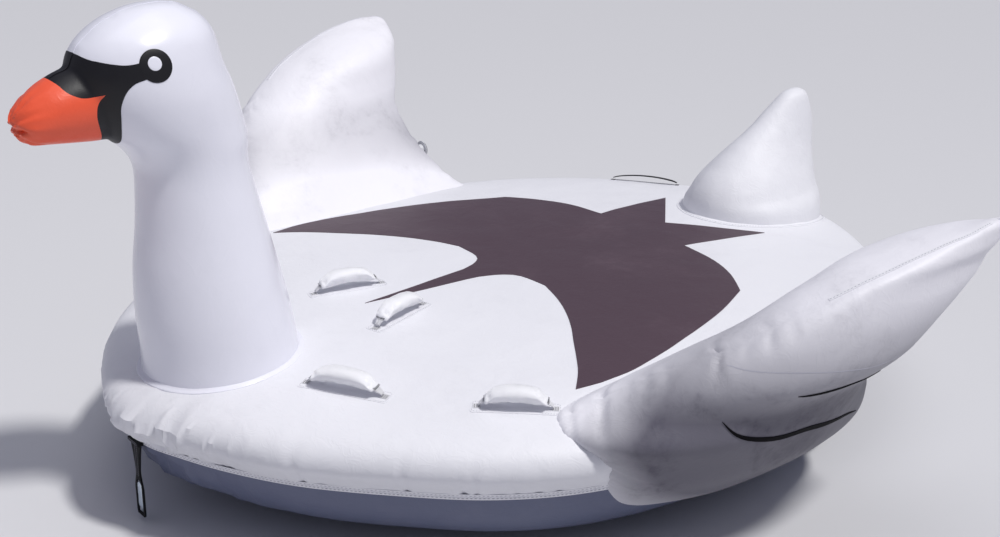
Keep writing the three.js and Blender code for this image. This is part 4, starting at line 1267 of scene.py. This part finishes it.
strap = strap_plate("tow_strap_web", TOW_EDGE, TOW_HOLE, TOW_THICK, tow_y)
fit_out(strap, "tow_strap", "webbing_black", BLACK_WEB, "tow_strap")

# The loop's bar, on which the tongue turns: x and radius of each ring in millimetres.
BAR = ((-16.2, 1.5), (-16, 2.6), (-15, 3.1), (-8, 3.2), (0, 3.2), (8, 3.2), (15, 3.1), (16, 2.6), (16.2, 1.5))
BAR_HEIGHT = 17 * MM
turn = np.linspace(0, 2 * math.pi, 24, endpoint=False)
rings = []
for x, r in BAR:
    ring = [np.full(24, x * MM), tow_y + r * MM * np.cos(turn), BAR_HEIGHT + r * MM * np.sin(turn)]
    rings.append(np.column_stack(ring))
fit_out(loft("tow_loop_bar", rings), "tow_strap", "webbing_black", BLACK_WEB)
for x in (-4.5, 4.5):
    line = [(x * MM, tow_y - TOW_THICK / 2, z * MM) for z in np.linspace(112, 186, 20)]
    stitch_line("tow_strap_stitching", line, FORWARD, 5 * MM, (1.8 * MM, 0.5 * MM, 0.5 * MM))
fit_out(sew("tow_strap_stitching"), "tow_strap", "webbing_black", THREAD)

# The tongue: a polished plate, cranked behind the loop's bar, with rounded ends and a raised rim.
TONGUE_ROWS, TONGUE_POINTS = 60, 28
TONGUE_WIDE = 12            # half width, in millimetres as all of its line
back = 3.2 + 0.8 + 1.5      # the bar's radius, a gap and half of the plate's thickness
line = smooth([(back, 6), (back, 15), (back, 24), (back * 0.45, 30), (0, 37), (0, 60), (0, 96)], TONGUE_ROWS)
rings = []
for k, (y, z) in enumerate(line):
    share = min(k, TONGUE_ROWS - 1 - k) / 9
    wide = TONGUE_WIDE * math.sqrt(max(0.04, 1 - (1 - min(1, share)) ** 2)) * MM
    dish = 0.5 * MM * min(1, share)
    section = rounded(wide, 1.5 * MM, TONGUE_POINTS, 0.6)
    section[:, 1] += dish * ((section[:, 0] / (TONGUE_WIDE * MM)) ** 2 - 0.5)
    rings.append(np.column_stack([section[:, 0], tow_y + y * MM + section[:, 1], np.full(TONGUE_POINTS, z * MM)]))
tongue = loft("tow_tongue_plate", rings, angle=45)
fit_out(tongue, "tow_tongue", "tow_alloy", ALLOY, "tow_tongue")

tab_low, tab_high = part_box("tow_anchor_tab")
object_mode()
bpy.ops.mesh.primitive_cube_add(size=1, location=tuple((tab_low + tab_high) / 2))
tab = named("tow_anchor")
tab.scale = tab_high - tab_low
bpy.ops.object.transform_apply(location=True, rotation=True, scale=True)
bpy.ops.object.mode_set(mode="EDIT")
bpy.ops.mesh.select_all(action="SELECT")
bpy.ops.mesh.subdivide(number_cuts=3)
bpy.ops.object.mode_set(mode="OBJECT")
modify(tab, "BEVEL", width=1.6 * MM, segments=3, limit_method="ANGLE")
settle(tab, 45)
fit_out(tab, "hull", "webbing_black", BLACK_WEB, "tow_anchor_tab")
for dz in (0.28, 0.72):
    z = tab_low.z + (tab_high.z - tab_low.z) * dz
    line = [(x, tab_low.y - 0.2 * MM, z) for x in np.linspace(tab_low.x + 3 * MM, tab_high.x - 3 * MM, 24)]
    stitch_line("tow_anchor_stitching", line, FORWARD, 4.4 * MM, (1.7 * MM, 0.5 * MM, 0.5 * MM))
fit_out(sew("tow_anchor_stitching"), "hull", "webbing_black", THREAD)

# ---------------------------------------------------------------- valves
# Profiles as radius and height above the flange's seat, in millimetres.
VALVE_DEPTH = 22
BODY = [(10, -VALVE_DEPTH), (15.4, -VALVE_DEPTH), (16, -21), (16, -0.5), (17, 0), (25.3, 0), (26, 0.6), (26, 1.7),
        (25.2, 2.5), (20, 2.5), (18.8, 1.9), (17.6, 2.5), (11, 2.5), (10, 1.6)]
LID = [(0.01, -3), (8.2, -3), (9, -2.2), (9, 2.6), (9.6, 3), (21.2, 3), (22, 3.6), (22, 6.2), (21.2, 7),
       (17.5, 7), (16.6, 6.2), (14, 6.2), (13, 7), (0.01, 7)]
for where in ("hull_valve", "neck_valve", "tail_valve", "wing_valve_left", "wing_valve_right"):
    low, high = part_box(f"{where}_body")
    seat = Vector(((low.x + high.x) / 2, low.y + VALVE_DEPTH * MM, (low.z + high.z) / 2))
    ring = spun(f"{where}_ring", [(r * MM, h * MM) for r, h in BODY], seat, (0, 1, 0))
    fit_out(ring, "hull", "valve", VALVE, f"{where}_body")
    lid = spun(f"{where}_lid", [(r * MM, h * MM) for r, h in LID], seat, (0, 1, 0))
    fit_out(lid, f"{where}_cap", "valve_cap", CAP, f"{where}_cap")
    object_mode()
    bpy.ops.mesh.primitive_cube_add(size=1, location=(seat.x, seat.y + 7.6 * MM, seat.z))
    grip = named(f"{where}_grip")
    grip.scale = (3.2 * MM, 2.6 * MM, 22 * MM)
    bpy.ops.object.transform_apply(location=True, rotation=True, scale=True)
    modify(grip, "BEVEL", width=1.0 * MM, segments=3)
    fit_out(settle(grip, 45), f"{where}_cap", "valve_cap", CAP)

for name in ("hull_bladder", "wing_bladder_left", "wing_bladder_right", "tail_bladder"):
    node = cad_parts[name]
    node.data.materials.clear()
    node.data.materials.append(FILM)

object_mode()
